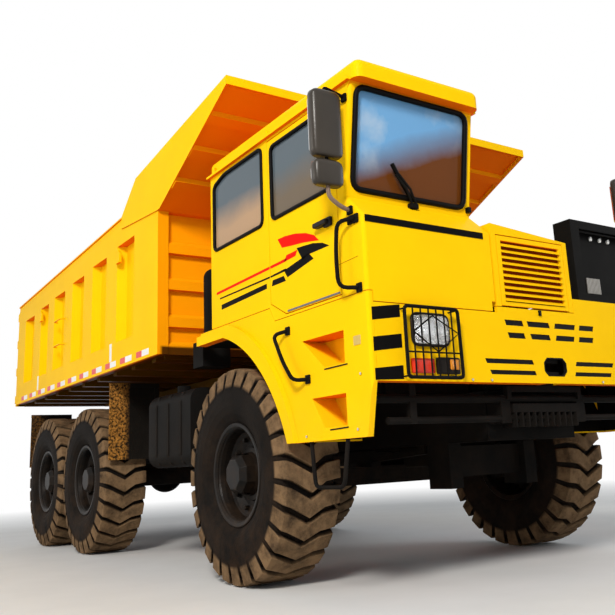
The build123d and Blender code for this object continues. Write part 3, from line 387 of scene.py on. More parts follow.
def underbed_shade(net):
    """Painted shade under the bed: low, behind the cab and between the bed's sides."""
    height = coordinate(net, "Object", "Z")
    outward = math_node(net, "ABSOLUTE", coordinate(net, "Object", "Y"))
    low_down = band_node(net, height, body_level + 1.905, body_level + 1.885, last=0.95)
    behind_cab = band_node(net, coordinate(net, "Object", "X"), axle_x - 1.0, axle_x - 1.3)
    between = band_node(net, outward, bed_out - 0.02, bed_out - 0.05)
    return product(net, product(net, low_down, behind_cab), between)


# Dust on the bar tops, which also stands in as painted light on the tops against the darker grooves.
def tread_top(net):
    stored = net.nodes.new("ShaderNodeAttribute")
    stored.attribute_name = "tread_height"
    raised = band_node(net, stored.outputs["Fac"], 0.35, 0.95)
    return product(net, raised, speckle(net, 7.0, 0.25, 0.6))


def lit_flap_edge(net):
    """Painted light along the outer edge of a flap, speckled like mud, with less on the rear pair."""
    outward = math_node(net, "ABSOLUTE", coordinate(net, "Object", "Y"))
    lit_speckle = product(net, band_node(net, outward, 1.40, 1.47), speckle(net, 38.0, 0.42, 0.60))
    front_pair = band_node(net, coordinate(net, "Object", "X"), axle_x - 5.0, axle_x - 3.8)
    return product(net, lit_speckle, band_node(net, front_pair, -0.4, 1.0))


# Painted layers: the first three are painted shade, the tread layer is dust with painted light on the
# tops, and the flap layer is painted light speckled like mud.
shade_and_mud_layers = (
    # finish, where the layer lies, its colour
    (paint_yellow, shade_facing_down, (0.86, 0.06, 0.001)),
    (paint_yellow, sheltered_wall, (0.95, 0.20, 0.001)),
    (paint_yellow, underbed_shade, (0.03, 0.008, 0.002)),
    (rubber_tyre, tread_top, (0.21, 0.13, 0.068)),
    (rubber_flap, lit_flap_edge, (0.50, 0.22, 0.04)),
)
for layer in shade_and_mud_layers:
    overlay(*layer)
print("layers laid over", len(shade_and_mud_layers))

# %% [markdown]
# ## Glass and lenses
#
# Lamp lenses are clear with fine ribs, which a wave texture gives as a bump. Signal lenses are the
# same with a strong colour. Cab glass is a thin sheet whose colour is replaced in a later cell by
# painted reflections and a painted view of the shaded cab inside. Even flat glass is never quite
# flat, so a little noise in the bump keeps the reflections from being perfectly straight.

# %% Cast the glass
IOR_GLASS, GLASS_RELIEF = 1.45, 0.004


def glass(name, tint, rough, ribs=0.0, alpha=1.0, transmission=1.0, mirror=0.5):
    made = bpy.data.materials.new(name)
    made.use_nodes = True
    net = made.node_tree
    shader = net.nodes["Principled BSDF"]
    for socket, value in (("Base Color", (*tint, 1)), ("Roughness", rough), ("IOR", IOR_GLASS),
                          ("Transmission Weight", transmission), ("Alpha", alpha),
                          ("Specular IOR Level", mirror)):
        shader.inputs[socket].default_value = value
    if ribs:
        field = net.nodes.new("ShaderNodeTexWave")
        field.bands_direction = "Y"
        field.inputs["Scale"].default_value = ribs
        net.links.new(coordinate(net, "Object"), field.inputs["Vector"])
        height, strength = field.outputs["Fac"], 0.5
    else:
        height, strength = noise_node(net, 1.5, 2.0, 0.5), 0.03
    net.links.new(relief_node(net, height, strength, GLASS_RELIEF), shader.inputs["Normal"])
    return made


glass_cab = glass("glass_cab", (0.36, 0.45, 0.5), 0.02, alpha=0.9, transmission=0.05, mirror=0.12)
lens_clear = glass("lens_clear", (0.92, 0.94, 0.96), 0.08, ribs=40, alpha=0.6)
lens_red = glass("lens_red", (0.9, 0.035, 0.006), 0.15, ribs=60, transmission=0.1)
lens_amber = glass("lens_amber", (1.0, 0.33, 0.01), 0.15, ribs=60, transmission=0.2)
print("materials", len(bpy.data.materials))

# %% [markdown]
# ## What the panes hold
#
# The panes carry painted reflections and a painted view of the shaded cab inside. The windscreen is
# painted blue as the sky reflected in it and brown as the dark cab seen through it, with a soft
# slanting border between them. The other panes are painted an even grey reflection that turns warm
# below, painted as the shaded inside and its reflections, and the rear one most. We build all of
# this from the height and the place in the glass itself, with a slow noise that makes painted clouds
# and keeps the borders from being straight.

# %% Paint reflections and the shaded inside into the panes
# Painted reflection and shade colours: sky and clouds reflected in the screen, the shaded cab seen
# through it, and on the other panes a grey reflection over a warm shaded inside.
PAINTED_SKY_BLUE, PAINTED_CLOUD_PALE, PAINTED_CAB_BROWN = (0.17, 0.41, 0.72), (0.40, 0.56, 0.74), (0.15, 0.045, 0.008)
PAINTED_PANE_GREY, PAINTED_LOW_WARM, PAINTED_LOW_BEIGE = (0.11, 0.14, 0.165), (0.17, 0.13, 0.09), (0.50, 0.32, 0.185)
SCREEN_BACK, SCREEN_FRONT = 1.50, 1.53
BORDER_LEAN, BORDER_WAVE = -0.40, 0.12
net = glass_cab.node_tree
pane_x = coordinate(net, "Object", "X")
slow_clouds = noise_node(net, 3.2, 8.0, 0.5)
tilted = math_node(net, "MULTIPLY_ADD", coordinate(net, "Object", "Y"), BORDER_LEAN,
                   coordinate(net, "Object", "Z"))
wavy = math_node(net, "MULTIPLY_ADD", slow_clouds, BORDER_WAVE, tilted)
sky = mix_node(net, band_node(net, slow_clouds, 0.52, 0.72), PAINTED_SKY_BLUE, PAINTED_CLOUD_PALE)
sky_share = band_node(net, wavy, body_level + 3.20, body_level + 3.44)
screen_painting = mix_node(net, sky_share, PAINTED_CAB_BROWN, sky)
rear_share = band_node(net, pane_x, axle_x + 0.62, axle_x + 0.46)
low_painting = mix_node(net, rear_share, PAINTED_LOW_WARM, PAINTED_LOW_BEIGE)
grey_share = band_node(net, wavy, body_level + 3.40, body_level + 3.62)
side_painting = mix_node(net, grey_share, low_painting, PAINTED_PANE_GREY)
screen_share = band_node(net, pane_x, axle_x + SCREEN_BACK, axle_x + SCREEN_FRONT)
pane_painting = mix_node(net, screen_share, side_painting, screen_painting)
net.links.new(pane_painting, net.nodes["Principled BSDF"].inputs["Base Color"])
print("nodes in the cab glass", len(net.nodes))

# %% [markdown]
# ## Dress the solids
#
# Most solids already have the right shape and only need their finish. A table from material slot to
# finish does it in one pass: the record says which slot each node belongs to, and we fill the slots
# of the node's mesh. The mesh itself is never touched.

# %% Give every solid its finish
slot_finish = {
    "body_yellow": paint_yellow,
    "chassis_black": paint_black,
    "rim_black": paint_rim,
    "tyre_rubber": rubber_tyre,
    "flap_rubber": rubber_flap,
    "cast_black": iron_black,
    "hoist_steel": steel_ground,
    "cab_glass": glass_cab,
    "lamp_glass": lens_clear,
    "signal_glass": lens_red,
    "black_plastic": plastic_black,
    "trim_grey": plastic_grey,
    "seat_fabric": cloth_seat,
}
for part in frame["record"]["subparts"]:
    solid = nodes[part["node"]]
    solid.data.materials.clear()
    solid.data.materials.append(slot_finish[part["material_slot"]])

# %% [markdown]
# ## Keep a piece
#
# Nearly every small piece is one of three things: a flat shape with thickness, a bent tube, or a
# turned ring. Whatever its shape, a piece ends the same way: its mesh gets a finish, its edges are
# softened with a bevel modifier where they need it, and it rides on the body that carries it. Pieces
# are drawn from the body's level and lifted to it; those of a wheel are drawn round the wheel's own
# middle and stay. TRIM and BLACK_METAL name the finish, body and slot that most small pieces share.

# %% Keep a piece
TRIM = (rubber_seal, "chassis", "black_plastic")
BLACK_METAL = (paint_black, "chassis", "chassis_black")


def mesh_from(name, shape, turn_out=True):
    """Turns a bmesh's faces outward, unless told not to, and writes it to a mesh."""
    if turn_out:
        bmesh.ops.recalc_face_normals(shape, faces=shape.faces)
    mesh = bpy.data.meshes.new(name)
    shape.to_mesh(mesh)
    shape.free()
    return mesh


def keep(name, mesh, material, body, slot, bevel=0.0, smooth=False):
    piece = bpy.data.objects.new(name, mesh)
    bpy.context.scene.collection.objects.link(piece)
    mesh.materials.append(material)
    if not body.startswith("wheel_"):
        mesh.transform(Matrix.Translation((0, 0, body_level)))
    if smooth:
        for face in mesh.polygons:
            face.use_smooth = True
    if bevel:
        softener = piece.modifiers.new("soft_edges", "BEVEL")
        softener.width = bevel
        softener.segments = 2
        softener.limit_method = "ANGLE"
    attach(piece, body)
    return piece


print("pieces are lifted by", round(body_level, 3))

# %% [markdown]
# ## Flat shapes
#
# A plate is an outline carried a short way along an axis. Its outline is a list of 2-D points, so a
# stripe, a bracket and a dark liner are all written the same way. Real sheet has rounded corners; we
# bend each corner of an outline into a short arc between its neighbours.

# %% Make flat shapes
AXIS_ORDER = {
    "x": lambda a, b, depth: (depth, a, b),
    "y": lambda a, b, depth: (a, depth, b),
    "z": lambda a, b, depth: (a, b, depth),
}


def add_walls(shape, near, far):
    """Closes the gap between two outlines with one wall for each side."""
    for i in range(len(near)):
        j = (i + 1) % len(near)
        shape.faces.new((near[j], near[i], far[i], far[j]))


def add_prism(shape, outline, low, high, axis="y"):
    """Adds a flat shape to a bmesh: a 2-D outline carried from low to high along an axis."""
    order = AXIS_ORDER[axis]
    near = [shape.verts.new(order(a, b, low)) for a, b in outline]
    far = [shape.verts.new(order(a, b, high)) for a, b in outline]
    shape.faces.new(near)
    shape.faces.new(list(reversed(far)))
    add_walls(shape, near, far)


def plate(name, outlines, low, high, material, body, slot, axis="y", bevel=0.0):
    shape = bmesh.new()
    for outline in outlines:
        add_prism(shape, outline, low, high, axis)
    return keep(name, mesh_from(name, shape), material, body, slot, bevel)


def rectangle(a0, a1, b0, b1):
    return [(a0, b0), (a1, b0), (a1, b1), (a0, b1)]


def bent(before, corner, after, radius, steps):
    """A corner between its two neighbours as a short arc."""
    back, ahead = before - corner, after - corner
    reach = min(radius, back.length / 2.1, ahead.length / 2.1)
    start = corner + back.normalized() * reach
    stop = corner + ahead.normalized() * reach
    shares = [k / steps for k in range(steps + 1)]
    return [start * (1 - t) ** 2 + corner * 2 * t * (1 - t) + stop * t * t for t in shares]


def rounded(points, radius):
    """The same closed outline with each corner bent."""
    soft, count = [], len(points)
    for i in range(count):
        before, corner, after = (Vector(points[(i + k) % count]) for k in (-1, 0, 1))
        soft += bent(before, corner, after, radius, 5)
    return soft


print("corner", [tuple(round(v, 3) for v in p) for p in rounded(rectangle(0, 1, 0, 1), 0.2)[:2]])

# %% [markdown]
# ## Bent tubes
#
# Handles, guards, seals and hoses are round and of one thickness. A curve with a round bevel is made
# for that: we give it the run of the tube and a radius, and bend its corners as a tube bender would.

# %% Make bent tubes
def tube(name, runs, radius, material, body, slot, closed=False, corner=0.0):
    """Round tubes along 3-D runs, corners bent when a corner radius is given."""
    data = bpy.data.curves.new(name, "CURVE")
    data.dimensions = "3D"
    data.bevel_depth = radius
    data.bevel_resolution = 3
    data.use_fill_caps = True
    for run in runs:
        points = [Vector(p) for p in run]
        if corner:
            soft = []
            for i, point in enumerate(points):
                if not closed and i in (0, len(points) - 1):
                    soft.append(point)
                else:
                    soft += bent(points[i - 1], point, points[(i + 1) % len(points)], corner, 4)
            points = soft
        spline = data.splines.new("POLY")
        spline.points.add(len(points) - 1)
        for spot, point in zip(spline.points, points):
            spot.co = (*point, 1)
        spline.use_cyclic_u = closed
    data.transform(Matrix.Translation((0, 0, body_level)))
    piece = bpy.data.objects.new(name, data)
    bpy.context.scene.collection.objects.link(piece)
    data.materials.append(material)
    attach(piece, body)
    return piece


print("curves so far", len(bpy.data.curves))

# %% [markdown]
# ## Turned and skinned shapes
#
# A rim or a tyre's side is turned: one profile carried round the wheel's axle. Lenses, bowls, hubs and
# mirror backs are skins over a row of closed rings that have equally many points.

# %% Turn and skin
def around(count, start=0.0):
    """Points at even angles round a circle of radius one."""
    angles = [start + 2 * math.pi * k / count for k in range(count)]
    return [(math.cos(angle), math.sin(angle)) for angle in angles]


def turned(shape, profile, centre, steps):
    """Adds a body turned about the wheel's axle (Y): profile is (radius, across) points."""
    rings = [[
        shape.verts.new((centre.x + r * c, centre.y + across, centre.z + r * s))
        for r, across in profile
    ] for c, s in around(steps)]
    for k in range(steps):
        here, there = rings[k], rings[(k + 1) % steps]
        for i in range(len(profile) - 1):
            shape.faces.new((here[i], there[i], there[i + 1], here[i + 1]))


def join_rings(shape, rings):
    for here, there in zip(rings, rings[1:]):
        for i in range(len(here)):
            j = (i + 1) % len(here)
            shape.faces.new((here[i], here[j], there[j], there[i]))


print("points round a hub", len(around(8, math.pi / 8)))

# %% [markdown]
# ## Rock tyres
#
# The tread is what makes these wheels: twenty-eight heavy bars, each a shallow wave across the
# tyre, with deep grooves between them that run out over the shoulders. The carcass is a turned
# profile. Each bar is then a strip of wedges: we walk across the tyre, shift the strip round the
# wheel by the wave, and give it a top, a root and two flanks. Mirrored tyres use the opposite wave.

# %% Shape the tread
LUG_COUNT, LUG_SHARE = 28, 0.74
ROOT_SPREAD, TOP_SPREAD = 1.10, 0.94
BAR_ROOT = wheel_radius - 0.056
BAR_TOP = wheel_radius - 0.002
SHOULDER_ROOT = 0.630
BAR_HALF = 0.244 * 0.99
TYRE_STEPS = 72
wave = (
    # share of the half width, turn in lug pitches, how far the top lies below the tread
    (-1.0, 0.16, 0.115),
    (-0.90, 0.10, 0.006),
    (-0.72, 0.02, 0.0),
    (-0.06, -0.46, 0.0),
    (0.40, -0.06, 0.0),
    (0.74, 0.02, 0.0),
    (0.90, 0.04, 0.006),
    (1.0, 0.06, 0.115),
)
side_wall = (
    # radius, half width
    (0.352, 0.171), (0.372, 0.184), (0.405, 0.208), (0.45, 0.230), (0.51, 0.242), (0.57, 0.244),
    (0.63, 0.240), (0.68, 0.228), (0.712, 0.208), (0.731, 0.180), (0.737, 0.10),
)
carcass = [(r, -half) for r, half in side_wall] + [(r, half) for r, half in reversed(side_wall)]
print("tread bars", LUG_COUNT, "rows", len(wave))

# %% [markdown]
# ## Build the six tyres
#
# Every point of a bar also stores whether it lies at the root or on the top, because the mud is laid
# by that value. The finished tyre replaces its solid, which has the same lugs with fewer faces.

# %% Make the tyres
def add_bar(shape, height, centre, outward, number):
    """Adds one tread bar: rows of root and top points, skinned and closed at both ends."""
    pitch = 2 * math.pi / LUG_COUNT
    rows = []
    for share, turn, drop in wave:
        across = centre.y - outward * share * BAR_HALF
        root = SHOULDER_ROOT if abs(share) == 1.0 else BAR_ROOT
        row = []
        for edge in (-0.5, 0.5):
            for radius, spread, raised in ((root, ROOT_SPREAD, 0.0), (BAR_TOP - drop, TOP_SPREAD, 1.0)):
                angle = pitch * (number + turn + edge * LUG_SHARE * spread)
                corner = shape.verts.new((
                    centre.x + radius * math.cos(angle), across, centre.z + radius * math.sin(angle)))
                corner[height] = raised
                row.append(corner)
        rows.append(row)
    for here, there in zip(rows, rows[1:]):
        for i, j in ((0, 1), (1, 3), (3, 2), (2, 0)):
            shape.faces.new((here[i], here[j], there[j], there[i]))
    for end in (rows[0], rows[-1]):
        shape.faces.new((end[0], end[1], end[3], end[2]))


def make_tyre(name):
    centre = middle(f"tyre_{name}")
    outward = RIGHT if "right" in name else LEFT
    shape = bmesh.new()
    height = shape.verts.layers.float.new("tread_height")
    turned(shape, carcass, centre, TYRE_STEPS)
    for number in range(LUG_COUNT):
        add_bar(shape, height, centre, outward, number)
    mesh = mesh_from(f"rock_tyre_{name}", shape)
    piece = keep(f"rock_tyre_{name}", mesh, rubber_tyre, f"wheel_{name}", "tyre_rubber", bevel=0.004)
    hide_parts(f"tyre_{name}")
    return piece


wheel_names = ("front_right", "front_left", "mid_right", "mid_left", "rear_right", "rear_left")
tyres = [make_tyre(name) for name in wheel_names]
print("tyre faces", len(tyres[0].data.polygons))

# %% [markdown]
# ## Rims
#
# The rim is a black dish of stepped rings: the flange that holds the tyre, a lock ring, the drop well
# and a disc with its nuts. In the middle stands the big eight-sided hub cap. Turned rings give the
# steps, an eight-sided prism the cap, and small six-sided prisms the nuts.

# %% Make the rims
rim_profile = (
    # radius, how far outward
    (0.336, 0.185), (0.352, 0.201), (0.375, 0.204), (0.382, 0.197), (0.380, 0.188), (0.366, 0.185),
    (0.352, 0.175), (0.340, 0.181), (0.330, 0.165), (0.322, 0.135), (0.318, 0.090), (0.300, 0.076),
    (0.240, 0.050), (0.200, 0.046), (0.196, 0.070), (0.160, 0.076), (0.152, 0.110),
)
inner_profile = (
    (0.340, -0.185), (0.375, -0.200), (0.382, -0.193), (0.352, -0.175), (0.340, -0.1), (0.335, 0.1),
    (0.336, 0.175),
)
HUB_FRONT, HUB_REAR = 0.226, 0.196
NUT_COUNT, NUT_CIRCLE, NUT_RADIUS = 10, 0.262, 0.019
NUT_FOOT, NUT_HEAD = 0.048, 0.092


def make_rim(name):
    centre = middle(f"tyre_{name}")
    outward = RIGHT if "right" in name else LEFT
    shape = bmesh.new()
    turned(shape, [(r, outward * across) for r, across in rim_profile], centre, 64)
    turned(shape, [(r, outward * across) for r, across in inner_profile], centre, 48)
    reach = HUB_FRONT if name.startswith("front") else HUB_REAR
    hub_profile = ((0.154, 0.06), (0.150, reach - 0.045), (0.118, reach - 0.004), (0.112, reach))
    hub_rings = [[
        shape.verts.new((centre.x + radius * c, centre.y + outward * across, centre.z + radius * s))
        for c, s in around(8, math.pi / 8)
    ] for radius, across in hub_profile]
    join_rings(shape, hub_rings)
    shape.faces.new(hub_rings[-1])
    for c, s in around(NUT_COUNT):
        nut = [(centre.x + NUT_CIRCLE * c + NUT_RADIUS * a, centre.z + NUT_CIRCLE * s + NUT_RADIUS * b)
               for a, b in around(6)]
        add_prism(shape, nut, centre.y + outward * NUT_FOOT, centre.y + outward * NUT_HEAD)
    mesh = mesh_from(f"dished_rim_{name}", shape)
    piece = keep(f"dished_rim_{name}", mesh, paint_rim, f"wheel_{name}", "rim_black", bevel=0.003)
    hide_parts(f"rim_{name}")
    return piece


rims = [make_rim(name) for name in wheel_names]
print("rim faces", len(rims[0].data.polygons))

# %% [markdown]
# ## Window rubber
#
# Each pane sits in a black rubber profile that shows as a soft rounded line. A tube drawn along the
# window's outline gives that roundness at once, and half of it sinks into the opening. The corners
# are rounded the way rubber can be bent. The windscreen leans, so its points come from a helper that
# lays them on that slope.

# %% Seal the windows
SEAL, SCREEN_SEAL = 0.015, 0.02
PROUD = 0.002
left_wall_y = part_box("cab_left_side")[1][1]
back_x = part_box("cab_rear_wall")[0][0]
side_seals = (
    # name, across, body, corners (forward of the axle, height)
    ("rear_side", side_y - PROUD, "chassis",
     [(-0.318, 2.545), (-0.318, 3.110), (-0.120, 3.160), (0.510, 3.160), (0.510, 2.545)]),
    ("door", side_y - PROUD, "door", [(0.655, 2.545), (0.655, 3.115), (1.420, 3.115), (1.420, 2.545)]),
    ("left", left_wall_y + PROUD, "chassis",
     [(-0.100, 2.545), (-0.100, 3.160), (1.450, 3.160), (1.400, 2.545)]),
)
for name, across, body, corners in side_seals:
    run = [at(x, across, z) for x, z in rounded(corners, 0.055)]
    tube(f"seal_{name}", [run], SEAL, rubber_seal, body, "black_plastic", closed=True)
back_pane = rounded([(-1.450, 2.545), (-0.720, 2.545), (-0.720, 3.100), (-1.450, 3.100)], 0.02)
tube("seal_back", [[(back_x - PROUD, y, z) for y, z in back_pane]], SEAL, *TRIM, closed=True)

SCREEN_FOOT, SCREEN_HEAD = Vector((1.584, 2.440)), Vector((1.698, 3.189))
screen_lean = (SCREEN_HEAD.x - SCREEN_FOOT.x) / (SCREEN_HEAD.y - SCREEN_FOOT.y)


def on_screen(across, height, proud=0.004):
    """A point on the leaning windscreen."""
    return at(SCREEN_FOOT.x + (height - SCREEN_FOOT.y) * screen_lean + proud, across, height)


screen = rounded([(-1.566, 2.498), (-0.600, 2.498), (-0.600, 3.175), (-1.566, 3.175)], 0.075)
tube("seal_screen", [[on_screen(y, z) for y, z in screen]], SCREEN_SEAL, *TRIM, closed=True)
print("seals", len(side_seals) + 2)

# %% [markdown]
# ## Wipers
#
# Two parallel arms turn on one pivot box below the screen and hold a single blade. Thin tubes give
# the arms and the blade, and a small softened block the pivot. A small lug sits at the corner of the
# screen.

# %% Fit the wiper
pivot = on_screen(-1.050, 2.452, 0.03)
tip = on_screen(-1.270, 2.700, 0.028)
wiper_runs = [
    [pivot, on_screen(-1.125, 2.545, 0.05), on_screen(-1.215, 2.640, 0.032)],
    [on_screen(-1.085, 2.446, 0.03), on_screen(-1.160, 2.545, 0.05), on_screen(-1.238, 2.632, 0.032)],
]
tube("wiper_arms", wiper_runs, 0.009, *BLACK_METAL)
blade = [on_screen(-1.098, 2.500, 0.02), on_screen(-1.195, 2.615, 0.02), tip]
tube("wiper_blade", [blade], 0.015, *TRIM)
pivot_box = rectangle(-1.105, -1.035, 2.425, 2.465)
plate("wiper_pivot", [pivot_box], axle_x + 1.575, axle_x + 1.625, *BLACK_METAL, axis="x", bevel=0.008)
corner_lug = rectangle(-0.578, -0.545, 2.468, 2.510)
plate("screen_corner_lug", [corner_lug], axle_x + 1.59, axle_x + 1.625, *TRIM, axis="x", bevel=0.006)
print("wiper from", [round(v, 2) for v in pivot])

# %% [markdown]
# ## Darkness behind the slots
#
# On the real nose the slots read as plain black and the gaps between the louvres as a deep brown,
# because both look into shade. Here that shade is painted: a thin black shape in each slot and a
# brown sheet behind the louvres. The eight-sided tow opening is lined with three dark rings, and a
# dark screen stands well behind the plate, both painted shade as well.

# %% Line the slots with painted shade
SLOT_SLANT = 0.013
apron_slots = (
    # right end, left end, low, high
    (-0.468, -0.294, 1.638, 1.677), (-0.250, -0.024, 1.638, 1.677), (0.043, 0.265, 1.638, 1.677),
    (0.311, 0.473, 1.638, 1.677), (-0.448, -0.285, 1.551, 1.590), (-0.226, -0.029, 1.551, 1.590),
    (0.046, 0.245, 1.551, 1.590), (0.296, 0.457, 1.551, 1.590), (-0.683, -0.229, 1.374, 1.406),
    (0.230, 0.655, 1.374, 1.406), (-0.647, -0.212, 1.301, 1.331), (0.212, 0.620, 1.301, 1.331),
)
# Painted shade: a thin black shape in each slot.
sheets = []
for right_end, left_end, low, high in apron_slots:
    shift = SLOT_SLANT if right_end < 0 else -SLOT_SLANT
    sheets.append([
        (right_end + shift, low), (left_end + shift, low), (left_end, high), (right_end, high)])
plate("slot_shade_sheets", sheets, nose_x - 0.014, nose_x - 0.004, *TRIM, axis="x")
# Painted shade: a brown sheet behind the louvres, for the shade between them.
louvre_shade = finish(
    "louvre_shade", (0.22, 0.028, 0.001), 0.6, grain=90, bump=0.1, vary=0.4, specular=0.012)
plate("louvre_shade_sheet", [rectangle(-0.436, 0.176, 1.802, 2.244)], nose_x - 0.024, nose_x - 0.0185,
      louvre_shade, "grille_lid", "body_yellow", axis="x")
# Painted shade: three dark rings that line the tow opening.
tow_ring = [(-0.113, 1.334), (-0.081, 1.301), (0.081, 1.301), (0.113, 1.334), (0.113, 1.390),
            (0.081, 1.423), (-0.081, 1.423), (-0.113, 1.390)]
for row, depth in enumerate((0.004, 0.012, 0.020)):
    ring = [(nose_x - depth, y, z) for y, z in tow_ring]
    tube(f"tow_shade_ring_{row}", [ring], 0.0065, *TRIM, closed=True)
# Painted shade: a dark screen that stands for the shade inside the nose.
plate("nose_shade_screen", [rectangle(-0.455, 0.455, 1.175, 1.600)], nose_x - 0.2745, nose_x - 0.2705,
      *TRIM, axis="x")
print("slots lined", len(sheets))

# %% [markdown]
# ## Darkness inside the nose
#
# The wheel arches, the inside of the side panels and the boot pockets' shells lie in shade, and dark
# sheets are painted shade for it. Thin liners cover both sides of each arch sheet, flat ones lie
# behind the panel, and a cap covers the back of each pocket. The arch follows a circle through three
# measured points.

# %% Line the arches and panels
ARCH_NEAR, ARCH_FAR = 1.10, 1.575
LINING_NEAR, LINING_FAR = side_out - 0.0415, side_out - 0.0405
POCKET_DEEP, POCKET_FRONT = side_out - 0.193, side_out - 0.0395
COVER_IN, COVER_OUT = 0.0165, 0.0190


def arc_through(first, second, third, steps, grow=0.0):
    """Points on the circle through three points in side view, or on one that is a little larger."""
    (ax, az), (bx, bz), (cx, cz) = first, second, third
    d = 2 * (ax * (bz - cz) + bx * (cz - az) + cx * (az - bz))
    a2, b2, c2 = ax * ax + az * az, bx * bx + bz * bz, cx * cx + cz * cz
    ox = (a2 * (bz - cz) + b2 * (cz - az) + c2 * (az - bz)) / d
    oz = (a2 * (cx - bx) + b2 * (ax - cx) + c2 * (bx - ax)) / d
    radius = math.hypot(ax - ox, az - oz) + grow
    start, stop = math.atan2(az - oz, ax - ox), math.atan2(cz - oz, cx - ox)
    return [(ox + radius * math.cos(start + (stop - start) * k / steps),
             oz + radius * math.sin(start + (stop - start) * k / steps)) for k in range(steps + 1)]


def shell_cover(name, side, corners):
    """A dark cap over a pocket's shell, as painted shade: its inner face and its four walls, open
    outward.
    """
    shape = bmesh.new()
    inner = [shape.verts.new((axle_x + x, side * POCKET_DEEP, z)) for x, z in corners]
    outer = [shape.verts.new((axle_x + x, side * POCKET_FRONT, z)) for x, z in corners]
    shape.faces.new(inner)
    add_walls(shape, inner, outer)
    return keep(name, mesh_from(name, shape), *TRIM)


arch_spots = ((0.885, 0.935), (0.590, 1.480), (-0.120, 1.787))
liner_line = arc_through(*arch_spots, 18) + [(-0.600, 1.787)]
upper = [(axle_x + x, z) for x, z in liner_line]
lower = [(axle_x + x * 0.996 - 0.001, z - 0.004) for x, z in reversed(liner_line)]
cover_line = arc_through(*arch_spots, 18, COVER_IN) + arc_through(*arch_spots, 18, COVER_OUT)[::-1]
cover = [(axle_x + x, z) for x, z in cover_line]
lining_parts = (
    # rear, front, low, high
    (0.865, 1.690, 0.940, 0.988), (0.845, 1.072, 0.988, 1.214), (1.502, 1.690, 0.988, 1.214),
    (0.740, 1.655, 1.214, 1.371), (0.640, 0.975, 1.371, 1.604), (1.508, 1.655, 1.371, 1.604),
    (0.450, 1.655, 1.604, 1.700),
)
linings = [rectangle(axle_x + a, axle_x + b, low, high) for a, b, low, high in lining_parts]
pocket_shells = (
    # corners (forward of the axle, height) of each boot pocket's shell
    ((1.245, 1.372), (0.978, 1.603), (1.506, 1.603), (1.506, 1.372)),
    ((1.220, 0.991), (1.075, 1.213), (1.501, 1.213), (1.501, 0.991)),
)
# Painted shade: dark liners, caps and linings where the arches, the pockets and the back of the panels
# lie in shade.
for side, tag in SIDES:
    near, far = sorted((side * ARCH_NEAR, side * ARCH_FAR))
    plate(f"arch_shade_liner_{tag}", [upper + lower], near, far, *TRIM)
    plate(f"arch_shade_cover_{tag}", [cover], near, far, *TRIM)
    for number, corners in enumerate(pocket_shells):
        shell_cover(f"pocket_shade_cover_{tag}_{number}", side, corners)
    near, far = sorted((side * LINING_NEAR, side * LINING_FAR))
    plate(f"panel_shade_lining_{tag}", linings, near, far, *TRIM)
print("linings", len(linings), "points in an arch", len(cover))

# %% [markdown]
# ## Belly of the engine
#
# From below one sees more than plain blocks: a pressed sump under the engine and a pan under the
# gearbox. Both are short frustums with softened edges, because a pressed pan narrows downwards. Two
# hard lines run along the nose, clipped to its dark screen.

# %% Hang the belly pieces
def pan(name, x0, x1, y0, y1, low, high, draw):
    """A pressed pan: a box whose bottom is drawn in on every side."""
    shape = bmesh.new()
    top = rectangle(x0, x1, y0, y1)
    foot = rectangle(x0 + draw, x1 - draw, y0 + draw, y1 - draw)
    upper = [shape.verts.new((axle_x + x, y, high)) for x, y in top]
    lower = [shape.verts.new((axle_x + x, y, low)) for x, y in foot]
    shape.faces.new(upper)
    shape.faces.new(list(reversed(lower)))
    add_walls(shape, upper, lower)
    return keep(name, mesh_from(name, shape), iron_black, "chassis", "cast_black", bevel=0.012)


engine_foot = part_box("engine")[0][2] - body_level
gearbox_foot = engine_foot - 0.116
pan("engine_sump", 0.22, 0.95, -0.24, 0.16, 0.720, engine_foot + 0.004, 0.03)
pan("gearbox_pan", -0.62, -0.135, -0.20, 0.225, 0.700, gearbox_foot, 0.02)
line_x = nose_x - 0.262
hard_lines = [
    [(line_x, -0.452, 1.215), (line_x, -0.20, 1.190), (line_x, 0.10, 1.212), (line_x, 0.452, 1.196)],
    [(line_x, -0.452, 1.235), (line_x, -0.05, 1.236), (line_x, 0.25, 1.222), (line_x, 0.452, 1.226)],
]
tube("nose_lines", hard_lines, 0.009, rubber_seal, "chassis", "cast_black", corner=0.08)
print("belly from", round(engine_foot, 3), round(gearbox_foot, 3))

# %% [markdown]
# ## Marks on the paint
#
# The truck wears a black strip under the windscreen, three black blocks on its front corner and a
# swoosh of red and black bands along the cab. They are foil: flat shapes hardly thicker than paper,
# laid on the panels. Where a band crosses the door seam it is cut, because the door swings away with
# its own share. Lettering and badges are left off, and their places stay plain paint.

# %% Lay the foil
FOIL, STRIP_FOIL, FOIL_GAP = 0.0012, 0.004, 0.0001
SEAM_BACK, SEAM_FRONT = 0.5905, 0.6005


def side_foil(name, outlines, material, body):
    shapes = [[(axle_x + x, z) for x, z in outline] for outline in outlines]
    return plate(name, shapes, side_y - FOIL, side_y - FOIL_GAP, material, body, "black_plastic")


def nose_foil(name, outlines, material, proud=FOIL):
    return plate(name, outlines, nose_x + FOIL_GAP, nose_x + proud, material, "chassis",
                 "black_plastic", axis="x")


def band(x0, x1, low0, low1, high0, high1):
    """A band in side view, sloping from its rear end to its front end."""
    return [(x0, low0), (x1, low1), (x1, high1), (x0, high0)]


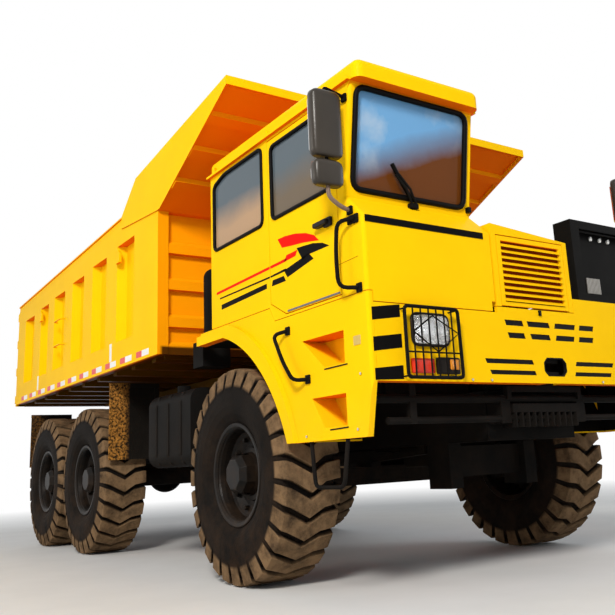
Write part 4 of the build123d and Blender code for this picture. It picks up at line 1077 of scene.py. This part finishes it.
nose_foil("cowl_strip", [rectangle(-1.606, -0.602, 2.228, 2.272)], film_black, proud=STRIP_FOIL)
nose_foil("corner_blocks", [
    [(-1.594, 1.610), (-1.378, 1.640), (-1.378, 1.718), (-1.594, 1.690)],
    [(-1.594, 1.422), (-1.376, 1.450), (-1.376, 1.536), (-1.594, 1.508)],
    [(-1.594, 1.250), (-1.378, 1.258), (-1.378, 1.342), (-1.594, 1.320)],
], film_black)
cab_bands = (
    ("red_line_cab", band(-0.293, SEAM_BACK, 2.168, 2.186, 2.188, 2.206), film_red),
    ("black_line_cab", band(-0.233, SEAM_BACK, 2.120, 2.118, 2.132, 2.132), film_black),
    ("black_band_cab", band(-0.205, 0.541, 2.030, 2.050, 2.070, 2.088), film_black),
)
for name, outline, film in cab_bands:
    side_foil(name, [outline], film, "chassis")
side_foil("red_bands_door", [
    band(SEAM_FRONT, 0.83, 2.186, 2.190, 2.206, 2.212),
    [(0.80, 2.192), (0.955, 2.198), (0.985, 2.235), (0.835, 2.232)],
    [(0.775, 2.302), (0.90, 2.285), (1.05, 2.268), (1.16, 2.250), (1.262, 2.232), (1.20, 2.285),
     (1.10, 2.325), (0.96, 2.358), (0.82, 2.376), (0.718, 2.378)],
], film_red, "door")
side_foil("black_bands_door", [
    band(SEAM_FRONT, 0.82, 2.118, 2.122, 2.132, 2.140),
    [(0.614, 2.052), (0.815, 2.050), (0.790, 2.092), (0.632, 2.094)],
    [(0.838, 2.070), (1.186, 2.124), (1.13, 2.175), (0.795, 2.130)],
    [(1.045, 2.150), (1.12, 2.168), (1.381, 2.166), (1.30, 2.205), (1.18, 2.232), (0.975, 2.250)],
], film_black, "door")
# Painted shade: a darker yellow line for the shade in a crease in front of the door.
film_crease_shade = finish(
    "film_crease_shade", (0.42, 0.20, 0.002), 0.5, grain=200, bump=0.02, vary=0.1, specular=0.012)
side_foil("crease_shade_line", [band(1.470, 1.690, 2.010, 2.018, 2.014, 2.022)], film_crease_shade, "chassis")
sill_strip = rectangle(axle_x + 0.830, axle_x + 1.480, 1.825, 1.838)
plate("door_sill_strip", [sill_strip], side_y - STRIP_FOIL, side_y, plastic_grey, "door", "trim_grey")
print("foil", FOIL)

# %% [markdown]
# ## Lamp shapes
#
# Two shapes make the lamps. A lens is a thin plate whose middle stands proud, skinned over rings that
# shrink towards the middle. A bowl is a shallow silver cup behind it, whose rings sink as they shrink.

# %% Shape lenses and bowls
def crowned(name, outline, low, high, crown, material, body, slot):
    """A thin plate along X whose middle stands proud: a lens."""
    shape = bmesh.new()
    centre = sum((Vector(p) for p in outline), Vector((0, 0))) / len(outline)
    levels = ((1.0, low), (1.0, high), (0.72, high + crown * 0.7), (0.35, high + crown))
    rings = [[
        shape.verts.new((depth, *(centre + (Vector(p) - centre) * scale))) for p in outline
    ] for scale, depth in levels]
    join_rings(shape, rings)
    shape.faces.new(rings[-1])
    shape.faces.new(list(reversed(rings[0])))
    return keep(name, mesh_from(name, shape), material, body, slot, smooth=True)


def bowl(shape, y, z, radius, depth, back):
    """A shallow cup that opens forward."""
    rings = [[
        shape.verts.new((back + depth * share * share, y + radius * share * c, z + radius * share * s))
        for c, s in around(24)
    ] for share in (1.0, 0.85, 0.6, 0.3)]
    join_rings(shape, rings)
    shape.faces.new(rings[-1])


reflector_silver = finish(
    "reflector_silver", (0.86, 0.86, 0.84), 0.12, metal=1.0, grain=80, bump=0.04, vary=0.03)
print("silver", reflector_silver.name)

# %% [markdown]
# ## Front and rear lamps
#
# Each front lamp group is a black bezel with a clear lens and a silver bowl behind it, a red-orange
# signal and a smaller black lamp with an amber eye. The rear lamps are made once as plates that face
# forward, then turned to face back by a mirror in their matrix, so their faces are flipped as well.

# %% Make the lamps
def block(side, y0, y1, z0, z1, radius):
    """A lamp's outline in front view, mirrored for its side of the truck."""
    return rounded(rectangle(side * y0, side * y1, z0, z1), radius)


bowls = bmesh.new()
for side, tag in SIDES:
    outline = block(side, 1.000, 1.300, 1.470, 1.668, 0.05)
    inner = block(side, 1.010, 1.291, 1.479, 1.659, 0.05)
    bezel = [(nose_x + 0.012, y, z) for y, z in outline]
    tube(f"lamp_bezel_{tag}", [bezel], 0.0095, plastic_black, "chassis", "black_plastic", closed=True)
    plate(f"lamp_back_{tag}", [outline], nose_x, nose_x + 0.006, reflector_silver, "chassis",
          "black_plastic", axis="x")
    crowned(f"lamp_lens_{tag}", inner, nose_x + 0.022, nose_x + 0.028, 0.006, lens_clear, "chassis",
            "lamp_glass")
    bowl(bowls, side * 1.205, 1.570, 0.084, 0.014, nose_x + 0.007)
    bowl(bowls, side * 1.068, 1.570, 0.054, 0.012, nose_x + 0.008)
    signal = block(side, 1.142, 1.316, 1.295, 1.386, 0.008)
    crowned(f"signal_{tag}", signal, nose_x, nose_x + 0.022, 0.006, lens_red, "chassis", "signal_glass")
    fog = block(side, 0.935, 1.118, 1.292, 1.396, 0.012)
    plate(f"fog_housing_{tag}", [fog], nose_x, nose_x + 0.03, plastic_black, "chassis",
          "black_plastic", axis="x", bevel=0.004)
    fog_lens = block(side, 0.950, 1.022, 1.318, 1.384, 0.008)
    crowned(f"fog_lens_{tag}", fog_lens, nose_x + 0.03, nose_x + 0.034, 0.004, lens_amber, "chassis",
            "lamp_glass")
lamp_bowls = keep("lamp_bowls", mesh_from("lamp_bowls", bowls, turn_out=False), reflector_silver,
                  "chassis", "lamp_glass", smooth=True)
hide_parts("headlamps")

tail_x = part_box("chassis_frame")[0][0] + 0.110
for side, tag in SIDES:
    for part, y0, y1, lens in (("outer", 1.105, 1.235, lens_red), ("inner", 0.965, 1.095, lens_amber)):
        tail = crowned(f"tail_{part}_{tag}", block(side, y0, y1, 1.015, 1.115, 0.012), 0.0, 0.013,
                       0.004, lens, "chassis", "signal_glass")
        tail.data.transform(Matrix.Translation((tail_x, 0, 0)) @ Matrix.Diagonal((-1, 1, 1, 1)))
        tail.data.flip_normals()
        if part == "outer" and side == RIGHT:
            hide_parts("signal_lamps")
print("tail lamps at", round(tail_x, 3))

# %% [markdown]
# ## Wire guards
#
# A frame of wire keeps stones off each lamp group. The guard is a set of thin tubes: a thicker frame,
# six uprights, one bar across, a diamond over the lens, and four short feet that reach the plate.

# %% Make the wire guards
WIRE, GUARD_FRAME = 0.0055, 0.0115
GUARD_X = nose_x + 0.0634
DIAMOND_X = GUARD_X - 0.006
LOW, HIGH, INNER, OUTER = 1.264, 1.700, 0.948, 1.392
diamond = ((1.324, 1.545), (1.165, 1.650), (0.955, 1.545), (1.134, 1.424), (1.324, 1.545))
guard_feet = ((OUTER - 0.02, LOW + 0.01), (INNER + 0.02, LOW + 0.01), (OUTER - 0.02, HIGH - 0.01),
              (INNER + 0.03, HIGH - 0.01))
guard_runs, guard_frames = [], []
for side, tag in SIDES:
    corners = [(side * OUTER, LOW), (side * INNER, LOW), (side * (INNER + 0.008), HIGH),
               (side * OUTER, HIGH)]
    guard_frames.append([(GUARD_X, y, z) for y, z in rounded(corners, 0.03)])
    for count in range(6):
        y = side * (INNER + 0.065 + count * 0.063)
        guard_runs.append([(GUARD_X, y, LOW), (GUARD_X, y, HIGH)])
    guard_runs.append([(GUARD_X, side * INNER, 1.418), (GUARD_X, side * OUTER, 1.418)])
    guard_runs.append([(DIAMOND_X, side * y, z) for y, z in diamond])
    for y, z in guard_feet:
        guard_runs.append([(nose_x - 0.002, side * y, z), (GUARD_X, side * y, z)])
tube("lamp_guard_wires", guard_runs, WIRE, *BLACK_METAL)
guard_frame = tube("lamp_guard_frames", guard_frames, GUARD_FRAME, *BLACK_METAL, closed=True)
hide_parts("lamp_guards")
print("guard runs", len(guard_runs))

# %% [markdown]
# ## Mirrors
#
# The mirror heads are deep shells with rounded backs, a tall one above a small wide one, on a bent
# tube. A shell is a superellipse swept up with its ends drawn in, and its faces are shaded smooth.
# The glass is a thin plate on the side that faces the driver.

# %% Make the mirrors
mirror_silver = finish(
    "mirror_silver", (0.88, 0.9, 0.9), 0.03, metal=1.0, grain=20, bump=0.005, vary=0.02)
mirror_brown = finish(
    "mirror_brown", (0.030, 0.024, 0.018), 0.30, grain=260, bump=0.08, vary=0.3, specular=0.3)
MIRROR_OUT = 1.785
DEEP_POWER, WIDE_POWER = 0.55, 0.5
PANE_SHARE, PANE_EDGE = 0.86, 0.03


def mirror_shell(shape, x, y, half_width, half_depth, low, high):
    ends = ((low, 0.80), (low + 0.012, 0.94), (low + 0.035, 1.0), (high - 0.035, 1.0),
            (high - 0.012, 0.94), (high, 0.80))
    rings = [[
        shape.verts.new((
            x + half_depth * scale * math.copysign(abs(c) ** DEEP_POWER, c),
            y + half_width * scale * math.copysign(abs(s) ** WIDE_POWER, s), z))
        for c, s in around(20)
    ] for z, scale in ends]
    join_rings(shape, rings)
    shape.faces.new(rings[-1])
    shape.faces.new(list(reversed(rings[0])))


shells, glasses = bmesh.new(), bmesh.new()
head_sizes = (
    # half width, half depth, low, high
    (0.113, 0.047, 2.655, 3.100), (0.108, 0.043, 2.465, 2.628),
)
mirror_places = ((RIGHT, 1.640, 0.0), (LEFT, 1.250, 0.115))
for side, x, lift in mirror_places:
    for half_width, half_depth, low, high in head_sizes:
        mirror_shell(shells, axle_x + x, side * MIRROR_OUT, half_width, half_depth,
                     low + lift, high + lift)
        reach = half_width * PANE_SHARE
        pane = rectangle(side * MIRROR_OUT - reach, side * MIRROR_OUT + reach,
                         low + lift + PANE_EDGE, high + lift - PANE_EDGE)
        glass_x = axle_x + x - half_depth
        add_prism(glasses, rounded(pane, 0.03), glass_x - 0.002, glass_x + 0.01, axis="x")
mirror_heads = keep("mirror_shells", mesh_from("mirror_shells", shells), mirror_brown, "chassis",
                    "black_plastic", smooth=True)
keep("mirror_panes", mesh_from("mirror_panes", glasses), mirror_silver, "chassis", "black_plastic")
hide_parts("mirrors")
print("mirrors", len(mirror_places) * len(head_sizes))

# %% [markdown]
# ## Mirror arms
#
# The right heads hang on a tube that reaches out from the cab's front pillar, wrapped in dusty tape at
# its lower end. The left heads stand on a post on the deck. Small brackets hold the right arm.

# %% Bend the mirror arms
arm_wrap = finish("arm_wrap", (0.2, 0.13, 0.09), 0.7, grain=60, bump=0.5, vary=0.4)
ARM, WRAPPED_ARM = 0.0125, 0.0145
tube("mirror_arm_right", [
    [at(1.64, -MIRROR_OUT, 2.44), at(1.64, -MIRROR_OUT, 2.66)],
    [at(1.64, -MIRROR_OUT, 3.08), at(1.64, -MIRROR_OUT, 3.136), at(1.64, -1.618, 3.100)],
], ARM, *BLACK_METAL, corner=0.05)
tube("mirror_arm_right_low", [
    [at(1.64, -MIRROR_OUT, 2.48), at(1.64, -MIRROR_OUT, 2.40), at(1.64, -1.700, 2.345),
     at(1.64, -1.618, 2.325)],
], WRAPPED_ARM, arm_wrap, "chassis", "chassis_black", corner=0.06)
tube("mirror_post_left", [
    [at(1.25, 1.56, 1.86), at(1.25, 1.56, 2.334), at(1.25, MIRROR_OUT, 2.334),
     at(1.25, MIRROR_OUT, 2.60)],
    [at(1.25, MIRROR_OUT, 2.72), at(1.25, MIRROR_OUT, 3.25)],
], ARM, *BLACK_METAL, corner=0.06)
for z in (3.070, 2.300, 2.235):
    bracket = rectangle(axle_x + 1.615, axle_x + 1.668, z, z + 0.055)
    plate(f"mirror_bracket_{int(z * 1000)}", [bracket], side_y - 0.02, side_y, *BLACK_METAL, bevel=0.006)
print("arm", ARM)

# %% [markdown]
# ## Handles and steps
#
# A driver climbs by two bent grab tubes, two boot pockets and a hanging loop step. The tubes start
# and end in small brackets. Each is one run with bent corners, because a real handle is bent from a
# single length of tube.

# %% Bend the handles
HANDLE = 0.0135
handle_out, handle_root = side_y - 0.075, side_y - 0.01
tube("grab_tubes", [
    [at(1.690, handle_root, 2.262), at(1.585, handle_out, 2.262), at(1.560, handle_out, 2.05),
     at(1.570, handle_out, 1.838), at(1.690, handle_root, 1.820)],
    [at(0.820, handle_root, 1.690), at(0.740, handle_out, 1.672), at(0.86, handle_out, 1.47),
     at(0.985, handle_out, 1.330), at(1.060, handle_root, 1.330)],
], HANDLE, *BLACK_METAL, corner=0.07)
for x, z in ((1.690, 2.262), (1.690, 1.820), (0.820, 1.690), (1.060, 1.330)):
    foot = rectangle(axle_x + x - 0.022, axle_x + x + 0.03, z - 0.03, z + 0.03)
    plate(f"grab_foot_{int(x * 1000)}_{int(z * 1000)}", [foot], side_y - 0.014, side_y + 0.001,
          *BLACK_METAL, bevel=0.005)
loops = []
for side, tag in SIDES:
    y = side * (side_out - 0.027)
    loops.append([at(1.028, y, 0.935), at(1.060, y, 0.640), at(1.385, y, 0.640), at(1.448, y, 0.935)])
loop_steps = tube("loop_steps", loops, HANDLE, *BLACK_METAL, corner=0.05)
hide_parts("tube_steps")
pull = rounded(rectangle(axle_x + 1.251, axle_x + 1.409, 2.306, 2.340), 0.012)
latch = rounded(rectangle(axle_x + 1.345, axle_x + 1.432, 2.290, 2.352), 0.012)
plate("door_pull", [pull], side_y - 0.046, side_y + 0.001, plastic_black, "door", "black_plastic",
      bevel=0.006)
plate("door_latch", [latch], side_y - 0.022, side_y, plastic_black, "door", "black_plastic",
      bevel=0.006)
print("loop steps", len(loops))

# %% [markdown]
# ## Tape, rungs and lugs on the bed
#
# Reflective tape in short red and white dashes runs along the lower edge of the bed, with two white
# uprights. Two small rung loops and two lifting lugs break the plain ribs. The tape is foil again;
# its dashes follow one loop, so that their rhythm stays even.

# %% Dress the bed sides
tape_white = finish("tape_white", (0.85, 0.84, 0.8), 0.35, grain=300, bump=0.1, vary=0.05)
tape_red = finish("tape_red", (0.72, 0.03, 0.02), 0.35, grain=300, bump=0.1, vary=0.05)
BED_FRONT, BED_REAR = -1.522, -6.65
TAPE_LOW, TAPE_HIGH = 1.850, 1.908
TAPE_PITCH, WHITE_RUN, RED_RUN = 0.451, 0.180, 0.145


def dash(front, length):
    return rectangle(axle_x + front - length, axle_x + front, TAPE_LOW, TAPE_HIGH)


whites, reds = [], []
x = BED_FRONT
while x - WHITE_RUN > BED_REAR:
    whites.append(dash(x, WHITE_RUN))
    if x - WHITE_RUN - RED_RUN > BED_REAR:
        reds.append(dash(x - WHITE_RUN, RED_RUN))
    x -= TAPE_PITCH
for mark_x in (-2.59, -5.49):
    whites.append(rectangle(axle_x + mark_x - 0.035, axle_x + mark_x + 0.03, 1.915, 2.10))
lugs = []
for lug_x, lug_z in ((-2.35, 2.975), (-5.38, 2.880)):
    lugs.append([(axle_x + lug_x + u, lug_z + v) for u, v in (
        (-0.05, -0.07), (0.05, -0.07), (0.06, 0.03), (0, 0.075), (-0.06, 0.03))])
for side, tag in SIDES:
    face = side * bed_out
    near, far = sorted((face, face + side * FOIL))
    plate(f"tape_white_{tag}", whites, near, far, tape_white, "bed", "black_plastic")
    plate(f"tape_red_{tag}", reds, near, far, tape_red, "bed", "black_plastic")
    root, out_y = face - side * 0.002, face + side * 0.045
    rungs = [[at(-4.64, root, z), at(-4.61, out_y, z), at(-4.34, out_y, z), at(-4.31, root, z)]
             for z in (2.672, 2.360)]
    tube(f"bed_rungs_{tag}", rungs, 0.009, paint_yellow, "bed", "body_yellow", corner=0.02)
    near, far = sorted((face, face + side * 0.03))
    plate(f"bed_lugs_{tag}", lugs, near, far, paint_yellow, "bed", "body_yellow", bevel=0.006)
    rim_run = [at(-6.67, face + side * 0.004, 3.238), at(-2.30, face + side * 0.004, 3.382)]
    tube(f"bed_rim_{tag}", [rim_run], 0.012, paint_yellow, "bed", "body_yellow")
print("dashes", len(whites), len(reds))

# %% [markdown]
# ## Small things on the panels
#
# A close look at the panels shows a dark line under each boot pocket, painted shade in a small
# groove, a row of bolts along the lower edges, a blank plate, a small catch under the grille and
# lifting lugs on the roof. They are tiny, but they give the panels their scale. Bolts are six-sided
# prisms joined in one mesh.

# %% Add the small things
GROOVE_HEIGHT, BOLT, BOLT_PROUD = 0.008, 0.009, 0.007
# Painted shade: a dark line in the small groove under each boot pocket.
groove_shade_lines = (
    # rear x, front x, low z at the rear, low z at the front
    (1.262, 1.520, 1.368, 1.371), (1.300, 1.500, 0.985, 0.990),
)
groove_shades = [band(axle_x + x0, axle_x + x1, z0, z1, z0 + GROOVE_HEIGHT, z1 + GROOVE_HEIGHT) for x0, x1, z0, z1 in groove_shade_lines]
for side, tag in SIDES:
    near, far = sorted((side * side_out, side * (side_out + 0.004)))
    plate(f"groove_shade_lines_{tag}", groove_shades, near, far, *TRIM)
blank_plate = finish(
    "blank_plate", (0.62, 0.45, 0.14), 0.5, grain=200, bump=0.1, vary=0.2, specular=0.05)
blank = rounded(rectangle(axle_x + 1.598, axle_x + 1.671, 1.476, 1.533), 0.006)
plate("side_plate_blank", [blank], side_y - 0.003, side_y, blank_plate, "chassis", "black_plastic")
bolts = bmesh.new()
for side, tag in SIDES:
    low, high = sorted((side * (side_out - 0.001), side * (side_out + BOLT_PROUD)))
    for x, z in ((1.02, 0.962), (1.60, 0.975), (1.655, 1.30)):
        add_prism(bolts, [(axle_x + x + a * BOLT, z + b * BOLT) for a, b in around(6)], low, high)
for y in (-0.814, -0.642, 0.497, 0.70, 0.95):
    ring = [(y + a * BOLT, 1.262 + b * BOLT) for a, b in around(6)]
    add_prism(bolts, ring, nose_x - 0.001, nose_x + BOLT_PROUD, axis="x")
keep("panel_bolts", mesh_from("panel_bolts", bolts), steel_ground, "chassis", "hoist_steel")
plate("grille_catch", [rectangle(-0.122, -0.098, 1.722, 1.760)], nose_x, nose_x + 0.012, *TRIM,
      axis="x", bevel=0.003)
roof_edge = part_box("cab_roof")[0][1]
roof_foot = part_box("cab_roof")[0][2] - body_level
for x in (-0.271, 0.62, 1.456):
    lug = [(axle_x + x + u, roof_foot + v) for u, v in (
        (-0.028, 0.016), (0.028, 0.016), (0.012, 0.062), (-0.012, 0.062))]
    plate(f"roof_lug_{int((x + 1) * 1000)}", [lug], roof_edge + 0.002, roof_edge + 0.028,
          paint_yellow, "chassis", "body_yellow", bevel=0.004)

# %% [markdown]
# ## Face of the cooler box
#
# The black box on the left deck is a frame round a dark core. Inside the frame runs a second, narrower
# lip; three pale plugs sit under its top edge, and a light strip of fins shows at the foot.

# %% Fit the cooler face
fin_pale = finish(
    "fin_pale", (0.33, 0.31, 0.28), 0.5, metal=0.5, grain=90, bump=0.3, vary=0.3)
FIN_COUNT, FIN_PITCH, FIN_WIDTH = 10, 0.016, 0.008
core_face = nose_x - 0.070
lip = [(nose_x - 0.028, y, z) for y, z in rectangle(0.452, 1.361, deck_low + 0.012, 2.428)]
tube("cooler_lip", [lip], 0.012, iron_black, "chassis", "cast_black", closed=True)
plugs = bmesh.new()
for y in (0.648, 0.760, 0.862):
    ring = [(y + 0.013 * c, 2.395 + 0.018 * s) for c, s in around(10)]
    add_prism(plugs, ring, core_face - 0.001, core_face + 0.014, axis="x")
keep("cooler_plugs", mesh_from("cooler_plugs", plugs), tape_white, "chassis", "black_plastic")
fins = []
for number in range(FIN_COUNT):
    fin_y = 0.545 + number * FIN_PITCH
    fins.append(rectangle(fin_y, fin_y + FIN_WIDTH, deck_low + 0.07, deck_low + 0.20))
plate("cooler_fins", fins, core_face - 0.001, core_face + 0.010, fin_pale, "chassis", "hoist_steel",
      axis="x")
print("fins", len(fins))

# %% [markdown]
# ## Straps of the fuel tank
#
# The fuel tank hangs in three steel straps. A strap is a thin U-shaped section carried a short way
# along the tank: its inner line follows the tank's outline, and its outer line is the same one pushed
# out by the strap's thickness where the tank is widest and tallest.

# %% Strap the tank
STRAP, STRAP_WIDTH = 0.006, 0.05
TANK_HEAD, TANK_IN, TANK_MIDDLE = 1.490, -0.70, -1.06
tank_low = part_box("fuel_tank")[0]
tank_foot = tank_low[2] - body_level
tank_out = tank_low[1]


def pushed(offset, reach):
    """The strap's thickness, away from the middle, for an offset beyond a reach."""
    return math.copysign(STRAP, offset) if abs(offset) > reach else 0


strap_in = [
    (TANK_IN, TANK_HEAD), (tank_out + 0.11, TANK_HEAD), (tank_out + 0.032, TANK_HEAD - 0.032),
    (tank_out, TANK_HEAD - 0.11), (tank_out, tank_foot + 0.11),
    (tank_out + 0.032, tank_foot + 0.032), (tank_out + 0.11, tank_foot), (TANK_IN, tank_foot),
]
middle_z = (TANK_HEAD + tank_foot) / 2
strap_out = [(y + pushed(y - TANK_MIDDLE, 0.40), z + pushed(z - middle_z, 0.24)) for y, z in strap_in]
for number, x in enumerate((0.16, 0.44, 0.72)):
    plate(f"tank_strap_{number}", [strap_in + strap_out[::-1]], tank_low[0] + x,
          tank_low[0] + x + STRAP_WIDTH, iron_black, "chassis", "cast_black", axis="x")
print("tank from", round(tank_foot, 3), "to", TANK_HEAD)

# %% [markdown]
# ## How a pad is sewn
#
# Through the glass one sees the driver's seat. Each seat pad starts as a slightly small block, is cut
# into a fine even mesh, and is blown up a little as cloth with air inside, so that its faces crown
# and its sides pull in between the corners. The move of each point is capped, so the pad stays in the
# room of its solid.

# %% Sew soft pads
AIR_FRAMES, AIR_PRESSURE, CLOTH_QUALITY = 20, 4.0, 4
PAD_MESH, PAD_GROWTH = 0.012, 0.013


def settled(piece):
    """The piece's mesh as its modifiers make it at this frame."""
    graph = bpy.context.evaluated_depsgraph_get()
    return bpy.data.meshes.new_from_object(piece.evaluated_get(graph), depsgraph=graph)


def even_block(name, corners):
    """A block from its eight corners, cut into a fine even mesh."""
    shape = bmesh.new()
    points = [shape.verts.new(c) for c in corners]
    for quad in ((0, 1, 2, 3), (7, 6, 5, 4), (0, 4, 5, 1), (1, 5, 6, 2), (2, 6, 7, 3), (3, 7, 4, 0)):
        shape.faces.new([points[i] for i in quad])
    draft = bpy.data.objects.new(f"{name}_draft", mesh_from(f"{name}_draft", shape))
    bpy.context.scene.collection.objects.link(draft)
    cutter = draft.modifiers.new("even_mesh", "REMESH")
    cutter.mode = "VOXEL"
    cutter.voxel_size = PAD_MESH
    bpy.context.view_layer.update()
    mesh = settled(draft)
    bpy.data.objects.remove(draft)
    return mesh


def blown_up(name, mesh):
    """The mesh as cloth with air inside, no point moved further than the cap."""
    before = [v.co.copy() for v in mesh.vertices]
    air = bpy.data.objects.new(f"{name}_air", mesh)
    bpy.context.scene.collection.objects.link(air)
    cloth = air.modifiers.new("air", "CLOTH")
    cloth.settings.use_pressure = True
    cloth.settings.uniform_pressure_force = AIR_PRESSURE
    cloth.settings.effector_weights.gravity = 0.0
    cloth.settings.quality = CLOTH_QUALITY
    cloth.point_cache.frame_start = 1
    cloth.point_cache.frame_end = AIR_FRAMES
    for moment in range(1, AIR_FRAMES + 1):
        bpy.context.scene.frame_set(moment)
    blown = settled(air)
    for spot, start in zip(blown.vertices, before):
        move = spot.co - start
        if move.length > PAD_GROWTH:
            move *= PAD_GROWTH / move.length
        spot.co = start + move
    bpy.data.objects.remove(air)
    bpy.context.scene.frame_set(1)
    return blown


def soft_pad(name, corners):
    mesh = even_block(name, corners)
    mesh = blown_up(name, mesh)
    mesh.name = name
    piece = keep(name, mesh, cloth_seat, "chassis", "seat_fabric", smooth=True)
    finer = piece.modifiers.new("finer", "SUBSURF")
    finer.levels = 1
    finer.render_levels = 1
    return piece


print("air frames", AIR_FRAMES)

# %% [markdown]
# ## Seat
#
# The seat has a cushion and a leaning backrest. Both are inset a little from the room of their solid,
# because the air makes them grow. A cord of piping follows the rim of each pad.

# %% Place the seat
INSET = 0.016
seat_x = axle_x + 0.400
seat_right, seat_left = -1.330 + INSET, -0.830 - INSET


def pad_corners(foot, head):
    """Eight corners of a block from (rear x, front x, height) at its foot and at its head."""
    return [(x, y, z) for rear, front, z in (foot, head) for x, y in (
        (rear, seat_right), (front, seat_right), (front, seat_left), (rear, seat_left))]


cushion = soft_pad("seat_pad", pad_corners(
    (seat_x + 0.10, seat_x + 0.52 - INSET, 2.200 + 0.002),
    (seat_x + 0.10, seat_x + 0.52 - INSET, 2.320 - INSET)))
backrest = soft_pad("seat_backrest", pad_corners(
    (seat_x - 0.012, seat_x + 0.112, 2.30), (seat_x - 0.062, seat_x + 0.024, 3.030 - INSET)))
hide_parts("seat_cushion")
piping = [
    [(seat_x + 0.112, seat_right, 2.302), (seat_x + 0.500, seat_right, 2.302),
     (seat_x + 0.500, seat_left, 2.302), (seat_x + 0.112, seat_left, 2.302)],
    [(seat_x + 0.108, seat_right, 2.33), (seat_x + 0.024, seat_right, 3.010),
     (seat_x + 0.024, seat_left, 3.010), (seat_x + 0.108, seat_left, 2.33)],
]
tube("seat_piping", piping, 0.006, rubber_seal, "chassis", "seat_fabric", closed=True, corner=0.04)
print("faces", len(cushion.data.polygons), len(backrest.data.polygons))

# %% [markdown]
# ## Steering wheel and dials
#
# The wheel is a bent ring with three spokes. It leans with its column, so its points are laid out by
# an across and an up direction that lie in the wheel's own plane. Four round dials lie on the dash.

# %% Make the steering wheel
COLUMN_LEAN = math.radians(30)
WHEEL_RADIUS, WHEEL_GRIP, SPOKE_REACH, SPOKE = 0.209, 0.0145, 0.205, 0.011
hub_spot = Vector((axle_x + 1.155, -1.080, 2.512))
across_way = Vector((0, 1, 0))
up_way = Vector((math.cos(COLUMN_LEAN), 0, math.sin(COLUMN_LEAN)))
ring = [hub_spot + (across_way * c + up_way * s) * WHEEL_RADIUS for c, s in around(40)]
wheel_ring = tube("wheel_ring", [ring], WHEEL_GRIP, plastic_black, "steering_wheel", "black_plastic",
                  closed=True)
spokes = [[hub_spot, hub_spot + (across_way * math.cos(a) + up_way * math.sin(a)) * SPOKE_REACH]
          for a in (0.0, math.pi, -math.pi / 2)]
tube("wheel_spokes", spokes, SPOKE, plastic_grey, "steering_wheel", "black_plastic")
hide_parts("steering_wheel")
dials = bmesh.new()
for k, radius in enumerate((0.045, 0.045, 0.03, 0.03)):
    y = -1.24 + k * 0.11
    ring = [(axle_x + 1.400 + radius * 0.94 * c, y + radius * s) for c, s in around(16)]
    add_prism(dials, ring, 2.338, 2.362, axis="z")
keep("dash_dials", mesh_from("dash_dials", dials), plastic_grey, "chassis", "trim_grey")
print("spokes", len(spokes))

# %% [markdown]
# ## Floor
#
# The floor is one wide pale sheet just below the tyres. It belongs to the stage, not to the truck.
# Far from the truck it turns to the white of the background, for the camera and for what is seen in
# metal or through glass, so that no hard horizon cuts the picture; near the wheels it keeps their
# shadow.

# %% Lay the floor
FLOOR_SIZE = 40
FADE_START, FADE_END = 6.5, 15.0
floor_shape = bmesh.new()
bmesh.ops.create_grid(floor_shape, x_segments=1, y_segments=1, size=FLOOR_SIZE)
floor_mesh = mesh_from("studio_floor", floor_shape, turn_out=False)
floor = bpy.data.objects.new("studio_floor", floor_mesh)
bpy.context.scene.collection.objects.link(floor)
floor_paint = finish("studio_floor", (0.78, 0.78, 0.77), 0.7, grain=8, bump=0.02, vary=0.03)
floor_mesh.materials.append(floor_paint)
net = floor_paint.node_tree
away = net.nodes.new("ShaderNodeVectorMath")
away.operation = "LENGTH"
net.links.new(coordinate(net, "Object"), away.inputs[0])
white = net.nodes.new("ShaderNodeEmission")
fade = net.nodes.new("ShaderNodeMixShader")
far_off = band_node(net, away.outputs["Value"], FADE_START, FADE_END)
net.links.new(product(net, far_off, background_ray(net)), fade.inputs["Fac"])
net.links.new(net.nodes["Principled BSDF"].outputs[0], fade.inputs[1])
net.links.new(white.outputs[0], fade.inputs[2])
net.links.new(fade.outputs[0], net.nodes["Material Output"].inputs["Surface"])
print("floor laid, white from", FADE_END)
